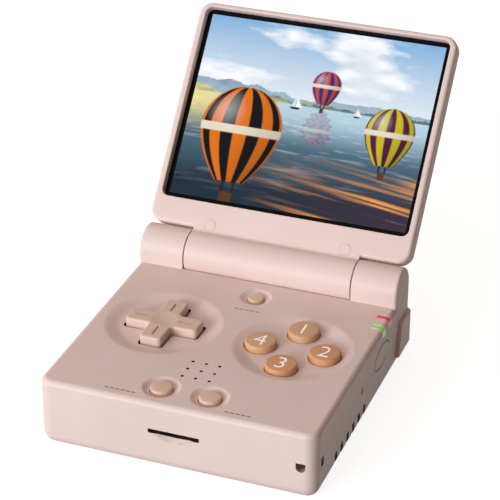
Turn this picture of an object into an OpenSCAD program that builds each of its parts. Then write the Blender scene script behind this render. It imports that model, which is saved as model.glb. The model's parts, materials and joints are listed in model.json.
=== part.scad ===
// Clamshell handheld game console: a base with the controls and a lid with the screen.
// Millimetres. The origin is the centre of the base's resting face, +Y to the hinge, +Z up.
// The lid stands open at lid_open, measured from the closed lid.

/* [Base] */
// Width of the base
base_w = 77; // [76:0.5:84]
// Depth of the base, front face to rear face
base_d = 79.6; // [79:0.2:86]
// Height of the control face above the table
base_h = 19.8; // [19.6:0.1:22]
// Height of the seam between the top and the bottom shell
seam_h = 11.3; // [11:0.1:11.6]
// Thickness of the shells' walls
wall = 1.6; // [1.3:0.1:1.7]
// Radius of the front upright corners
corner_r = 2.8; // [2:0.1:4]
// Rounding of the edge round the control face
top_edge_r = 1.5; // [1:0.1:2.4]
// Rounding of the bottom edges
bottom_edge_r = 3.4; // [2.6:0.1:3.8]
// Rounding of the rear upright corners
rear_edge_r = 1; // [0.5:0.1:1.4]

/* [Hinge] */
// Radius of the hinge barrel and of the knuckles beside it
hinge_r = 6.2; // [6:0.1:6.6]
// Height of the hinge axis above the control face
hinge_rise = 2.9; // [2.7:0.1:3.2]
// Length of the barrel in the middle, which belongs to the lid
barrel_l = 49.7; // [46:0.5:52]
// Gap between each end of the barrel and the knuckle
knuckle_gap = 0.3; // [0.2:0.05:0.5]
// Gap between the barrel and the trough that it turns in
trough_gap = 0.35; // [0.25:0.05:0.5]
// Opening angle of the lid in the rest pose
lid_open = 130.3; // [95:1:150]

/* [Lid] */
// Width of the lid
lid_w = 78; // [77:0.5:85]
// Thickness of the lid
lid_t = 6.2; // [6:0.1:7]
// Gap between the closed lid and the control face
lid_gap = 0.26; // [0.2:0.02:0.5]
// Distance of the lid's lower edge from the knuckle
lid_edge_gap = 0.4; // [0.35:0.05:1.2]
// Radius of the lid's corners
lid_corner_r = 3.8; // [3:0.1:5]
// Thickness of the rear cover's floor
cover_t = 1.1; // [0.9:0.05:1.2]

/* [Screen] */
// Distance of the lit area from each side of the lid
screen_margin = 3.45; // [3.3:0.05:4.5]
// Distance of the lit area from the upper edge of the lid
screen_head = 2.9; // [2.8:0.1:4]
// Black border of the glass round the lit area
glass_border = 1.4; // [1:0.1:1.5]
// Height of the bezel above the glass
pocket_depth = 2.4; // [2.3:0.05:2.6]
// Thickness of the glass
glass_t = 0.8; // [0.6:0.05:0.9]
// Distance of the lit area's lower edge from the hinge axis
screen_foot = 15.8; // [15.6:0.1:16.4]

/* [Directional pad] */
// Distance of the pad's and the round buttons' centres from the middle
cluster_x = 18.5; // [18.3:0.1:19.2]
// Place of both centres from front to rear
cluster_y = -1.6; // [-3:0.2:0]
// Radius of the dish round each cluster
dish_r = 16.4; // [16:0.1:16.8]
// Depth of that dish
dish_depth = 1.2; // [1:0.05:1.3]
// Length of the pad's cross from tip to tip
dpad_span = 21; // [19:0.1:21.5]
// Width of the pad's arms
dpad_arm_w = 6.3; // [5.6:0.1:7]
// Height of the pad's top above the control face
dpad_rise = 1.3; // [1:0.05:1.4]
// Gap between the pad and the rim of its hole
dpad_gap = 0.4; // [0.38:0.02:0.5]

/* [Round buttons] */
// Diameter of the four round buttons
button_d = 8.7; // [8:0.1:9.2]
// Distance of each round button from the centre of its cluster
button_step = 9.1; // [8.8:0.1:9.4]
// Height of the round buttons above the control face
button_rise = 0.75; // [0.3:0.05:1]
// Gap between a round button and its hole
button_gap = 0.15; // [0.1:0.01:0.25]
// Travel of the round buttons
button_travel = 1; // [0.6:0.1:1.1]

/* [Small buttons] */
// Diameter of the select and start buttons
option_d = 6; // [5:0.1:6.6]
// Diameter of the dish round the select and the start button
option_dish_d = 10.4; // [9:0.1:10.6]
// Distance of the select and start buttons from the middle
option_x = 6.75; // [6.4:0.05:7.2]
// Distance of the select and start buttons from the front face
option_setback = 8.1; // [8:0.1:9]
// Diameter of the menu button
menu_d = 4.6; // [3.8:0.1:5]
// Diameter of the dish round the menu button
menu_dish_d = 9.2; // [8:0.1:9.6]
// Distance of the menu button in front of the hinge axis
menu_setback = 13.55; // [13.4:0.05:14.5]
// Depth of the small dishes
small_dish_depth = 0.9; // [0.7:0.05:1]
// Travel of the small buttons
small_travel = 0.6; // [0.4:0.05:0.7]

/* [Sides] */
// Length of the oval power button
power_l = 13; // [10:0.1:13.4]
// Height of the oval power button
power_h = 6.4; // [5:0.1:6.6]
// Place of the power button in front of the hinge axis
power_setback = 18.7; // [18.4:0.1:19.2]
// Length of the volume rocker
rocker_l = 15; // [13:0.1:16]
// Height of the volume rocker
rocker_h = 4.2; // [4:0.1:4.6]
// Height of the shoulder buttons
shoulder_h = 10.1; // [9:0.1:10.3]
// Length of the shoulder buttons along the rear face
shoulder_l = 19.8; // [18:0.1:20.5]
// How far the shoulder buttons stand out of the base
shoulder_proud = 0.9; // [0.5:0.05:1.2]
// Width of each indicator light pipe
pipe_w = 2.3; // [1:0.1:2.6]
// Number of vent slots low on the right side
vent_count = 6; // [4:1:7]
// Distance between two vent slots
vent_pitch = 4.76; // [4:0.1:5]

/* [Sockets] */
// Width of the memory card slot in the front face
card_slot_w = 14.2; // [12:0.1:15]
// Height of the memory card slot
card_slot_h = 1.1; // [0.9:0.05:1.2]
// Radius of the headphone jack's bore
jack_bore_r = 1.78; // [1.76:0.01:1.85]
// Depth of the headphone jack's bore
jack_depth = 14; // [12:0.5:15]
// Width of the charging port
usb_w = 8.94; // [8.8:0.02:9.2]
// Height of the charging port
usb_h = 3.26; // [3.1:0.02:3.4]
// Diameter of the lanyard hole in the front face
lanyard_d = 2.6; // [2.2:0.1:2.8]

/* [Inside] */
// Thickness of the main board
board_t = 1; // [0.8:0.1:1.2]
// Depth of the battery from front to rear
battery_d = 40; // [34:1:41]
// Thickness of the battery
battery_t = 6.4; // [5:0.1:6.6]
// Gap between the battery and the headphone jack beside it
battery_gap = 0.8; // [0.5:0.1:3]
// Radius of the screws' shanks
screw_r = 1; // [0.8:0.05:1.05]
// Radius of the screws' heads
screw_head_r = 1.8; // [1.6:0.05:1.85]

/* [Hidden] */
$fn = 48;

shell_pink = [0.91, 0.81, 0.78];
pad_tan = [0.79, 0.67, 0.57];
button_tan = [0.80, 0.60, 0.44];
small_tan = [0.82, 0.68, 0.60];
board_green = [0.10, 0.38, 0.24];
steel_grey = [0.72, 0.73, 0.75];
rubber_grey = [0.62, 0.62, 0.62];
black = [0.05, 0.05, 0.06];
red = [0.82, 0.25, 0.31];
green = [0.56, 0.83, 0.35];
gold = [0.85, 0.65, 0.30];

// Running clearance of pins and shafts in their holes
running = 0.05;
// Thin slice that a hull spans
slice = 0.01;
// Reach of a cut past the face that it starts from
past = 1;

// Hinge axis and the places on the base that follow from it
hinge_y = base_d / 2 - hinge_r;
hinge_h = base_h + hinge_rise;
front_y = -base_d / 2;
side_x = base_w / 2;
trough_r = hinge_r + trough_gap;
trough_wall = 1.2;
trough_half = barrel_l / 2 + knuckle_gap;
// Height of the base's rear lip behind the barrel
lip_h = hinge_h - sqrt(pow(trough_r, 2) - pow(hinge_r - trough_wall, 2));
knuckle_edge_r = 0.8;

// Lid, in its own directions: x across, v up the lid from the hinge axis, w to the viewer
bezel_w = hinge_rise - lid_gap;
back_w = bezel_w - lid_t;
lid_foot = hinge_r + lid_edge_gap;
lid_head = hinge_y - front_y;
lid_front_edge_r = 1;
lid_back_edge_r = 2;
glass_w = bezel_w - pocket_depth;
screen_w = lid_w - 2 * screen_margin;
screen_h = lid_head - screen_foot - screen_head;
glass_x = screen_w + 2 * glass_border;
glass_v0 = screen_foot - glass_border;
glass_v1 = screen_foot + screen_h + glass_border;
glass_gap = 0.1;
glass_corner_r = 2;
ledge = 1.1;
ledge_t = 0.8;
split_w = glass_w - glass_t - ledge_t;
cover_floor_w = back_w + cover_t;
lcd_t = 1.5;
plate_t = 0.2;
lid_screw_x = 20.3;
lid_screw_v = lid_foot + 1.23;
lid_screw_cap_r = 1.65;
cap_t = 0.5;

// Board and what stands on it
board_top = seam_h + 1.6;
board_under = board_top - board_t;
board_x = side_x - wall - 2.3;
board_front = front_y + wall + 1;
board_rear = base_d / 2 - wall - 0.3;
wing_x = side_x - 7.5;
wing_y = base_d / 2 - 3.8;
tongue_x = 17.8;
tact_h = 1.6;

// Screws through the base: two at the front, two beside the hinge
boss_r = 3.3;
post_r = 2.6;
head_recess = 4;
front_screw = [side_x - 10.5, front_y + 5.8];
rear_screw = [side_x - 7, hinge_y - 8.6];
screw_places = [
    [front_screw.x, front_screw.y], [-front_screw.x, front_screw.y],
    [rear_screw.x, rear_screw.y], [-rear_screw.x, rear_screw.y]
];

// Shoulder buttons
shoulder_z = 3.2;
shoulder_slit = 0.2;
shoulder_end_slit = 0.9;
shoulder_side_l = hinge_r * 2 - 0.6;
shoulder_slant = 2.4;
shoulder_wall = 2.5;
switch_in = 13.5;
switch_h = 1.8;
shoulder_pin = [side_x - 3.4, base_d / 2 - 8];
shoulder_pin_r = 0.8;
lug_r = 1.5;

// Control face
dish_slope = 4.2;
floor_h = base_h - dish_depth;
floor_under = floor_h - wall;
pad_under = floor_under - 2.1;
pad_flange_r = 7;
pad_flange_t = 1.2;
ball_r = 1.5;
flange_t = 1.2;
button_flange_r = button_d / 2 + 1.05;
small_floor = base_h - small_dish_depth;
small_under = small_floor - wall;
option_y = front_y + option_setback;
menu_y = hinge_y - menu_setback;
speaker_setback = 18.75;
speaker_y = front_y + speaker_setback;
hole_pitch = 3.8;
sheet_t = 0.5;
pad_sheet_r = 12;
pad_dome_r = 3;
button_sheet_r = 14.4;
button_dome_r = 3.6;
post_clear_r = 2.6;
soft_gap = 0.3;

// Sides
power_y = hinge_y - power_setback;
side_z = seam_h + 0.8;
charge_y = hinge_y - 11.6;
power_light_y = hinge_y - 17;
pipe_x = side_x - 3.8;
pipe_z = base_h - 2.5;
rocker_y = power_y - 3;
rocker_pin_x = -(side_x - 2.5);
rocker_pin_r = 0.6;
jack_y = front_y + 18;
jack_size = [jack_depth + 0.6, 6, 5];
jack_z = board_under - jack_size.z / 2;
jack_inset = 0.1;
battery = [base_w - 2 * (jack_inset + jack_size.x + battery_gap), battery_d, battery_t];
battery_y = board_front + 8.2 + battery.y / 2;
speaker_size = [16, 9.6, 3.6];
shield_y = battery_y + battery.y / 2 + 2.2;
shield_t = 0.3;
socket_size = [14, 14.6, 1.6];
usb_l = 7.3;
usb_inset = 0.4;
usb_clear = 5.7;
shield_size = [24, base_d / 2 - usb_inset - usb_l - usb_clear - shield_y, 2.2];
usb_z = board_under - usb_h / 2;
card_x = -0.3;
scoop_r = 40;
scoop_out = 39.1;
reset_y = -2.4;
reset_r = 0.6;
reset_dimple_r = 1;
reset_z = seam_h - 0.3;
vent_setback = 11.9;
vent_l = 1.9;
vent_h = 4.7;
vent_z = 3.15;

// Hinge hardware
cartridge_r = 2.95;
cartridge_l = 13;
shaft_r = 1.95;
shaft_pin_r = 1.2;
sleeve_r = 2.5;
sleeve_bore_r = 1.8;
bush_r = 3.4;
bush_l = 5.4;
cable_x = 10.9;
cable_w = 5;

// Puts a shape drawn along x, v and w onto the open lid
module on_lid() translate([0, hinge_y, hinge_h]) rotate([180 - lid_open, 0, 0]) children();

// Cylinder along X from x0 to x1 on the hinge axis
module along_hinge(r, x0, x1)
    translate([x0, hinge_y, hinge_h]) rotate([0, 90, 0]) cylinder(r = r, h = x1 - x0);

// Box given by its lowest and highest corners
module block(lo, hi) translate(lo) cube(hi - lo);

// Plate with round upright corners
module round_plate(size, r)
    linear_extrude(size.z) {
        square([size.x, size.y - 2 * r], center = true);
        square([size.x - 2 * r, size.y], center = true);
        for (sx = [-1, 1], sy = [-1, 1])
            translate([sx * (size.x / 2 - r), sy * (size.y / 2 - r)]) circle(r);
    }

// Oval prism along X, centred on y and z
module oval_x(l, h, x0, x1)
    translate([x0, 0, 0]) rotate([90, 0, 90]) linear_extrude(x1 - x0) scale([l / h, 1]) circle(d = h);

// Slot with round ends along Y, extruded along X
module stadium_x(l, h, x0, x1)
    translate([x0, 0, 0]) rotate([90, 0, 90]) linear_extrude(x1 - x0) {
        square([l - h, h], center = true);
        for (s = [-1, 1])
            translate([s * (l - h) / 2, 0]) circle(d = h);
    }

// Upright cylinder below the origin whose upper end is rounded by f
module round_end(r, f)
    for (i = [0:3]) {
        low = sin(22.5 * i);
        high = sin(22.5 * (i + 1));
        translate([0, 0, f * (low - 1)])
            cylinder(r1 = r - f * (1 - cos(22.5 * i)), r2 = r - f * (1 - cos(22.5 * (i + 1))),
                h = f * (high - low), $fn = 32);
    }

// Rounded body of the base
module base_block()
    hull()
    for (s = [-1, 1]) {
        translate([s * (side_x - bottom_edge_r), front_y + bottom_edge_r, 0]) mirror([0, 0, 1])
            round_end(bottom_edge_r, bottom_edge_r);
        translate([s * (side_x - corner_r), front_y + corner_r, base_h]) round_end(corner_r, top_edge_r);
        translate([s * (side_x - bottom_edge_r), base_d / 2, bottom_edge_r]) rotate([-90, 0, 0])
            round_end(bottom_edge_r, rear_edge_r);
        translate([s * (side_x - top_edge_r), base_d / 2, base_h - top_edge_r]) rotate([-90, 0, 0])
            round_end(top_edge_r, rear_edge_r);
    }

// Hollow of the base
module base_hollow()
    translate([0, 0, wall]) round_plate([base_w - 2 * wall, base_d - 2 * wall, base_h - 2 * wall], 2);

// Half of a shape above or below the seam
module above_seam() intersection() {
    children();
    block([-base_w, -base_d, seam_h], [base_w, base_d, 2 * base_h]);
}
module below_seam() intersection() {
    children();
    block([-base_w, -base_d, -past], [base_w, base_d, seam_h]);
}

// Outline of a knuckle in the YZ plane: a circle on an upright foot
module knuckle_outline(r) {
    circle(r);
    translate([-r, base_h - top_edge_r - hinge_h]) square([2 * r, top_edge_r + hinge_rise]);
}

// Knuckle on one side, with its outer end rounded
module knuckle(side) {
    x0 = trough_half;
    x1 = side_x;
    for (a = [0:22.5:90])
        translate([side > 0 ? x0 : -x1 + knuckle_edge_r * (1 - sin(a)), hinge_y, hinge_h])
        rotate([90, 0, 90])
        linear_extrude(x1 - x0 - knuckle_edge_r * (1 - sin(a)))
        knuckle_outline(hinge_r - knuckle_edge_r * (1 - cos(a)));
}

// Prism along X whose front end leans back by shoulder_slant from z0 to z1
module slanted_x(front, rear, z0, z1, x0, x1)
    translate([x0, 0, 0]) rotate([90, 0, 90]) linear_extrude(x1 - x0)
        polygon([[front, z0], [rear, z0], [rear, z1], [front + shoulder_slant, z1]]);

// Room for a shoulder button in both shells
module shoulder_room(side)
    mirror([side < 0 ? 1 : 0, 0, 0]) {
        z0 = shoulder_z - shoulder_slit;
        z1 = shoulder_z + shoulder_h + shoulder_slit;
        rear = base_d / 2;
        front = rear + shoulder_proud - shoulder_side_l - 2 * shoulder_slit;
        slanted_x(front, rear + past, z0, z1, trough_half, side_x + past);
        block([side_x - shoulder_l - shoulder_end_slit + shoulder_proud, rear - 2.9, z0],
            [trough_half + past, rear + past, z1]);
    }

// Every opening that cuts the seam or a side wall
module side_openings() {
    shoulder_room(-1);
    shoulder_room(1);
    translate([0, power_y, side_z])
        oval_x(power_l + 0.3, power_h + 0.3, side_x - wall - past, side_x + past);
    translate([0, rocker_y, side_z])
        stadium_x(rocker_l + 0.6, rocker_h + 0.6, -side_x - past, -side_x + wall + past);
    translate([card_x, front_y, seam_h]) cube([card_slot_w, 4 * wall, card_slot_h], center = true);
    translate([0, base_d / 2, usb_z]) cube([usb_w + 0.6, 4 * wall, usb_h + 0.6], center = true);
    translate([-side_x - past, jack_y, jack_z]) rotate([0, 90, 0]) cylinder(r = 3.05, h = wall + 2 * past);
    translate([side_x - wall - past, reset_y, reset_z]) rotate([0, 90, 0]) cylinder(r = reset_r, h = 2 * wall + past);
    translate([side_x - 0.4, reset_y, reset_z]) rotate([0, 90, 0]) cylinder(r = reset_dimple_r, h = past);
}

// Wide dish with a sloped rim and a flat floor
module dish_cut(d, depth, slope, z)
    translate([0, 0, z - depth]) {
        cylinder(r1 = d / 2 - slope, r2 = d / 2, h = depth + slice);
        translate([0, 0, depth]) cylinder(d = d, h = past);
    }

// The pad's cross, grown by g on every side
module cross(g) {
    square([dpad_span + 2 * g, dpad_arm_w + 2 * g], center = true);
    square([dpad_arm_w + 2 * g, dpad_span + 2 * g], center = true);
}

// Puts children at each round button: top, right, bottom, left
module at_button(i)
    translate([cluster_x + button_step * sin(90 * i), cluster_y + button_step * cos(90 * i), 0]) children();

module top_shell() color(shell_pink) {
    difference() {
        union() {
            above_seam() difference() {
                base_block();
                base_hollow();
            }
            for (s = [-1, 1]) {
                knuckle(s);
                mirror([s < 0 ? 1 : 0, 0, 0])
                    block([trough_half, hinge_y - hinge_r, base_h - 3.7],
                        [side_x - wall / 2, base_d / 2 - rear_edge_r, base_h - top_edge_r]);
                translate([s * cluster_x, cluster_y, floor_under])
                    cylinder(r = dish_r + 0.4, h = base_h - floor_under - wall / 2);
                translate([s * option_x, option_y, small_under])
                    cylinder(d = option_dish_d + 0.4, h = base_h - small_under - wall / 2);
            }
            translate([0, menu_y, small_under])
                cylinder(d = menu_dish_d + 0.6, h = base_h - small_under - wall / 2);
            intersection() {
                along_hinge(trough_r + trough_wall, -trough_half, trough_half);
                block([-side_x, 0, seam_h], [side_x, base_d / 2 - wall / 2, base_h - wall / 2]);
            }
            for (p = screw_places)
                translate([p.x, p.y, board_top]) cylinder(r = post_r, h = base_h - wall / 2 - board_top);
            translate([rocker_pin_x, rocker_y, side_z + 2.6])
                cylinder(r = 1.1, h = base_h - wall / 2 - side_z - 2.6);
        }
        along_hinge(trough_r, -trough_half, trough_half);
        block([-trough_half, hinge_y, lip_h], [trough_half, base_d, 2 * base_h]);
        for (s = [-1, 1])
            translate([s * cluster_x, cluster_y, 0]) dish_cut(2 * dish_r, dish_depth, dish_slope, base_h);
        translate([-cluster_x, cluster_y, floor_under - past])
            linear_extrude(wall + 2 * past) cross(dpad_gap);
        for (i = [0:3])
            at_button(i) cylinder(d = button_d + 2 * button_gap, h = base_h);
        for (s = [-1, 1]) translate([s * option_x, option_y, 0]) {
            dish_cut(option_dish_d, small_dish_depth, 1.8, base_h);
            cylinder(d = option_d + 2 * button_gap, h = base_h);
        }
        translate([0, menu_y, 0]) {
            dish_cut(menu_dish_d, small_dish_depth, 1.9, base_h);
            cylinder(d = menu_d + 2 * button_gap, h = base_h);
        }
        for (i = [-1:1], j = [-1:1])
            translate([i * hole_pitch, speaker_y + j * hole_pitch, seam_h]) cylinder(d = 0.9, h = base_h, $fn = 24);
        for (y = [charge_y, power_light_y])
            block([pipe_x, y - pipe_w / 2 - running, pipe_z - running],
                [side_x + past, y + pipe_w / 2 + running, base_h + past]);
        for (p = screw_places)
            translate([p.x, p.y, seam_h]) cylinder(r = screw_r + running, h = board_top + 3.6 - seam_h);
        translate([rocker_pin_x, rocker_y, 0]) cylinder(r = rocker_pin_r + running, h = side_z + 3.8, $fn = 24);
        side_openings();
        along_hinge(shaft_r + running, -trough_half - 8, -trough_half + past);
        along_hinge(sleeve_r + running, trough_half - past, trough_half + 9);
        block([trough_half + 6, hinge_y - 1.6, base_h - 6], [trough_half + 9, hinge_y + 1.6, hinge_h]);
    }
    for (s = [-1, 1])
        translate([s * shoulder_pin.x, shoulder_pin.y, shoulder_z + shoulder_h - 0.7])
        difference() {
            cylinder(r = lug_r, h = base_h - 2.7 - shoulder_z - shoulder_h);
            translate([0, 0, -past]) cylinder(r = shoulder_pin_r + running, h = 2, $fn = 24);
        }
}

// Winding way of the lanyard through the front right corner
module lanyard_way() {
    x = side_x - 4.2;
    y = front_y + 4.9;
    z = seam_h - 1.6;
    translate([x, front_y - past, z]) rotate([-90, 0, 0]) cylinder(d = lanyard_d, h = y - front_y + past + 1);
    block([x - lanyard_d / 2, front_y - past, z], [x + lanyard_d / 2, y + 1, z + 1.3]);
    block([x - lanyard_d / 2, y - 1, z - 1.3], [side_x + past, y + 1, z + 1.3]);
}

module bottom_shell() color(shell_pink) {
    difference() {
        union() {
            below_seam() difference() {
                base_block();
                base_hollow();
            }
            for (p = screw_places)
                translate([p.x, p.y, wall / 2]) cylinder(r = boss_r, h = board_under - wall / 2);
            below_seam() intersection() {
                base_block();
                block([side_x - 6.8, front_y, wall / 2], [side_x, front_y + 7, seam_h]);
            }
            for (s = [-1, 1])
                translate([0, s * (battery.y / 2 + 1) + battery_y, wall + 1])
                cube([battery.x - 8, 1.2, 4], center = true);
            translate([rocker_pin_x, rocker_y, wall / 2])
                cylinder(r = 1.1, h = side_z - 2.6 - wall / 2);
        }
        for (p = screw_places) translate([p.x, p.y, -past]) {
            cylinder(r = screw_head_r + 0.25, h = head_recess + past);
            cylinder(r = screw_r + running, h = base_h);
        }
        translate([rocker_pin_x, rocker_y, side_z - 3.8]) cylinder(r = rocker_pin_r + running, h = 3, $fn = 24);
        for (i = [0:vent_count - 1])
            translate([side_x, (i - (vent_count - 1) / 2) * vent_pitch - vent_setback, vent_z])
            cube([2 * wall + 1.2, vent_l, vent_h], center = true);
        lanyard_way();
        translate([card_x, front_y - scoop_out, seam_h - card_slot_h / 2 + 6.35]) sphere(scoop_r, $fn = 160);
        side_openings();
    }
    for (s = [-1, 1])
        translate([s * shoulder_pin.x, shoulder_pin.y, wall / 2])
        difference() {
            cylinder(r = lug_r, h = shoulder_z + 0.7 - wall / 2);
            translate([0, 0, 1.2]) cylinder(r = shoulder_pin_r + running, h = 5, $fn = 24);
        }
}

module main_board() color(board_green)
    difference() {
        translate([0, 0, board_under]) linear_extrude(board_t) difference() {
            union() {
                translate([-board_x, board_front])
                    square([2 * board_x, hinge_y - 6.4 - board_front]);
                translate([-wing_x, 0]) square([2 * wing_x, wing_y]);
                translate([-tongue_x, 0]) square([2 * tongue_x, board_rear]);
            }
            translate([side_x - 7.1, front_y]) square([8, 7.3]);
        }
        for (p = screw_places)
            translate([p.x, p.y, 0]) cylinder(r = screw_r + 0.15, h = base_h);
    }

module processor_shield() color(steel_grey)
    translate([-shield_size.x / 2, shield_y, board_under - shield_size.z]) difference() {
        cube(shield_size);
        translate([shield_t, shield_t, shield_t])
            cube([shield_size.x - 2 * shield_t, shield_size.y - 2 * shield_t, shield_size.z + past]);
    }

module battery_pack() color(steel_grey)
    translate([0, battery_y, wall]) {
        round_plate(battery, 2);
        translate([battery.x / 2 - 8, battery.y / 2 - slice, battery.z - 2.6]) cube([6, 0.3, 1.2]);
    }

module speaker() color(black)
    translate([0, speaker_y, base_h - wall - speaker_size.z]) difference() {
        round_plate(speaker_size, 1.5);
        translate([0, 0, speaker_size.z - 0.6])
            round_plate([speaker_size.x - 3, speaker_size.y - 0.9, 3], 1.5);
    }

module card_socket() color(steel_grey)
    difference() {
        block([card_x - socket_size.x / 2, board_front, board_under - socket_size.z],
            [card_x + socket_size.x / 2, board_front + socket_size.y, board_under]);
        block([card_x - socket_size.x / 2 + 1.4, board_front - past, board_under - 1.1],
            [card_x + socket_size.x / 2 - 1.4, board_front + socket_size.y - 1, board_under - 0.3]);
    }

module usb_port() color(steel_grey)
    translate([0, base_d / 2 - usb_inset, usb_z]) rotate([0, 0, -90]) difference() {
        stadium_x(usb_w, usb_h, 0, usb_l);
        stadium_x(usb_w - 0.7, usb_h - 0.7, -past, usb_l - 0.4);
    }

module headphone_jack() color(black)
    translate([-side_x + jack_inset, jack_y, jack_z])
    difference() {
        union() {
            rotate([0, 90, 0]) cylinder(r = 2.9, h = jack_size.x);
            translate([wall + jack_inset, -jack_size.y / 2, -jack_size.z / 2])
                cube([jack_size.x - wall - jack_inset, jack_size.y, jack_size.z]);
        }
        translate([-past, 0, 0]) rotate([0, 90, 0]) cylinder(r = jack_bore_r, h = jack_depth + past);
        translate([-past, -5, jack_size.z / 2]) cube([30, 10, 5]);
    }

// Push switch on the board, its plunger ending at tip along X from the board
module side_switch(x0, tip, y)
    translate([0, y, board_top]) {
        translate([min(x0, x0 + 2.6 * sign(tip - x0) * -1), -1.7, 0]) cube([2.6, 3.4, 2]);
        translate([min(x0, tip), -0.7, 0.4]) cube([abs(tip - x0), 1.4, 1.2]);
    }

module power_switch() color(steel_grey)
    side_switch(board_x - 0.2, side_x - wall - 1.85, power_y - 2.2);

module volume_switches() color(steel_grey)
    for (s = [-1, 1])
        side_switch(-board_x + 0.2, -side_x + 2.65, rocker_y + s * rocker_l * 0.36);

module option_switches() color(steel_grey)
    for (p = [[-option_x, option_y], [option_x, option_y], [0, menu_y]])
        translate([p.x, p.y, board_top]) {
            translate([-1.75, -1.75, 0]) cube([3.5, 3.5, tact_h - 0.5]);
            cylinder(r = 1, h = tact_h);
        }

module shoulder_switches() color(steel_grey)
    for (s = [-1, 1])
        translate([s * (side_x - switch_in), wing_y, board_under - switch_h]) {
            translate([-2, -3.4, 0]) cube([4, 3.2, switch_h]);
            translate([-0.8, -0.4, 0.4]) cube([1.6, 1.95, 1]);
        }

module indicator_leds() color("white")
    for (y = [charge_y, power_light_y])
        block([board_x - 1.2, y - 0.7, board_top], [board_x - 0.05, y + 0.7, board_top + 0.7]);

// Light pipe from its lamp on the board up to the face and over the edge
module light_pipe(y) {
    difference() {
        intersection() {
            base_block();
            block([pipe_x + running, y - pipe_w / 2, pipe_z], [side_x, y + pipe_w / 2, base_h]);
        }
        base_hollow();
    }
    block([board_x - 0.8, y - pipe_w / 2, board_top + 0.8], [pipe_x + 0.4, y + pipe_w / 2, base_h - wall]);
}

module charge_light_pipe() color(red) light_pipe(charge_y);

module power_light_pipe() color(green) light_pipe(power_light_y);

// Screw with its head at the origin, its shank upward
module screw(l, head_t) {
    translate([0, 0, -head_t]) difference() {
        cylinder(r = screw_head_r, h = head_t, $fn = 32);
        translate([0, 0, -slice]) cylinder(r = 0.7, h = 0.7, $fn = 6);
    }
    cylinder(r = screw_r, h = l, $fn = 32);
}

module case_screws() color(steel_grey)
    for (p = screw_places)
        translate([p.x, p.y, head_recess]) screw(board_top + 3 - head_recess, 1.4);

module shoulder_pins() color(steel_grey)
    for (s = [-1, 1])
        translate([s * shoulder_pin.x, shoulder_pin.y, wall / 2 + 1.3])
        cylinder(r = shoulder_pin_r, h = shoulder_z + shoulder_h + 0.2 - wall / 2 - 1.3, $fn = 32);

module volume_pin() color(steel_grey)
    translate([rocker_pin_x, rocker_y, side_z - 3.7]) cylinder(r = rocker_pin_r, h = 7.4, $fn = 32);

module hinge_shaft() color(steel_grey) {
    along_hinge(shaft_r, -trough_half - 7.8, -trough_half + 0.1);
    along_hinge(shaft_pin_r, -trough_half, -trough_half + 9);
}

module hinge_sleeve() color(steel_grey)
    difference() {
        along_hinge(sleeve_r, trough_half - knuckle_gap - bush_l + 0.1, trough_half + 6);
        along_hinge(sleeve_bore_r, 0, side_x);
    }

module dpad_post() color(rubber_grey)
    translate([-cluster_x, cluster_y, board_top]) difference() {
        cylinder(r = 2.2, h = pad_under - 0.5 - board_top);
        translate([0, 0, pad_under - board_top]) sphere(ball_r + running);
    }

module dpad_ball() color(steel_grey)
    translate([-cluster_x, cluster_y, pad_under]) sphere(ball_r);

module dpad() color(pad_tan)
    translate([-cluster_x, cluster_y, 0]) difference() {
        union() {
            translate([0, 0, pad_under]) {
                linear_extrude(base_h + dpad_rise - pad_under) cross(0);
                cylinder(r = pad_flange_r, h = pad_flange_t);
            }
        }
        translate([0, 0, pad_under]) sphere(ball_r + running);
        for (a = [0:90:270])
            rotate(a) translate([6.4, 0, base_h + dpad_rise]) cube([4.4, 0.6, 0.6], center = true);
    }

// Rubber sheet with a dome under each of four places
module membrane(r, step, dome_r, dome_h, hole_r)
    difference() {
        union() {
            cylinder(r = r, h = sheet_t);
            for (a = [0:90:270])
                rotate(a) translate([step, 0, 0]) cylinder(r1 = dome_r, r2 = dome_r - 0.8, h = dome_h);
        }
        for (a = [0:90:270])
            rotate(a) translate([step, 0, -slice])
            cylinder(r1 = dome_r - 0.5, r2 = dome_r - 1.3, h = dome_h - 0.6);
        translate([0, 0, -past]) cylinder(r = hole_r, h = 3);
    }

module dpad_membrane() color(rubber_grey)
    translate([-cluster_x, cluster_y, board_top])
    membrane(pad_sheet_r, 7.2, pad_dome_r, pad_under - soft_gap - board_top, post_clear_r);

module button_membrane() color(rubber_grey)
    translate([cluster_x, cluster_y, board_top])
    membrane(button_sheet_r, button_step, button_dome_r,
        floor_under - running - flange_t - soft_gap - board_top, post_clear_r);

// Round button with a flange under the face and a key that stops it turning
module round_button() {
    top = base_h + button_rise;
    base = floor_under - running - flange_t;
    translate([0, 0, base]) {
        cylinder(d = button_d, h = top - base - 0.5);
        translate([0, 0, top - base - 0.5]) cylinder(d1 = button_d, d2 = button_d - 0.8, h = 0.5);
        cylinder(r = button_flange_r, h = flange_t);
    }
}

module button_top() color(button_tan) at_button(0) round_button();

module button_right() color(button_tan) at_button(1) round_button();

module button_bottom() color(button_tan) at_button(2) round_button();

module button_left() color(button_tan) at_button(3) round_button();

// Small button: cap, flange under the face and a stem down to its switch
module small_button(d, rise) {
    top = base_h + rise;
    under = small_under - running;
    foot = board_top + tact_h + small_travel + running;
    translate([0, 0, under - 1]) cylinder(r = d / 2 + 0.9, h = 1);
    translate([0, 0, under - 1]) cylinder(d = d, h = top - under + 0.6);
    translate([0, 0, top - 0.4]) cylinder(d1 = d, d2 = d - 0.8, h = 0.4);
    translate([0, 0, foot]) cylinder(r = 1.2, h = under - foot);
}

module select_button() color(small_tan) translate([-option_x, option_y, 0]) small_button(option_d, 0.3);

module start_button() color(small_tan) translate([option_x, option_y, 0]) small_button(option_d, 0.3);

module menu_button() color(small_tan) translate([0, menu_y, 0]) small_button(menu_d, 0.1);

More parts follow.
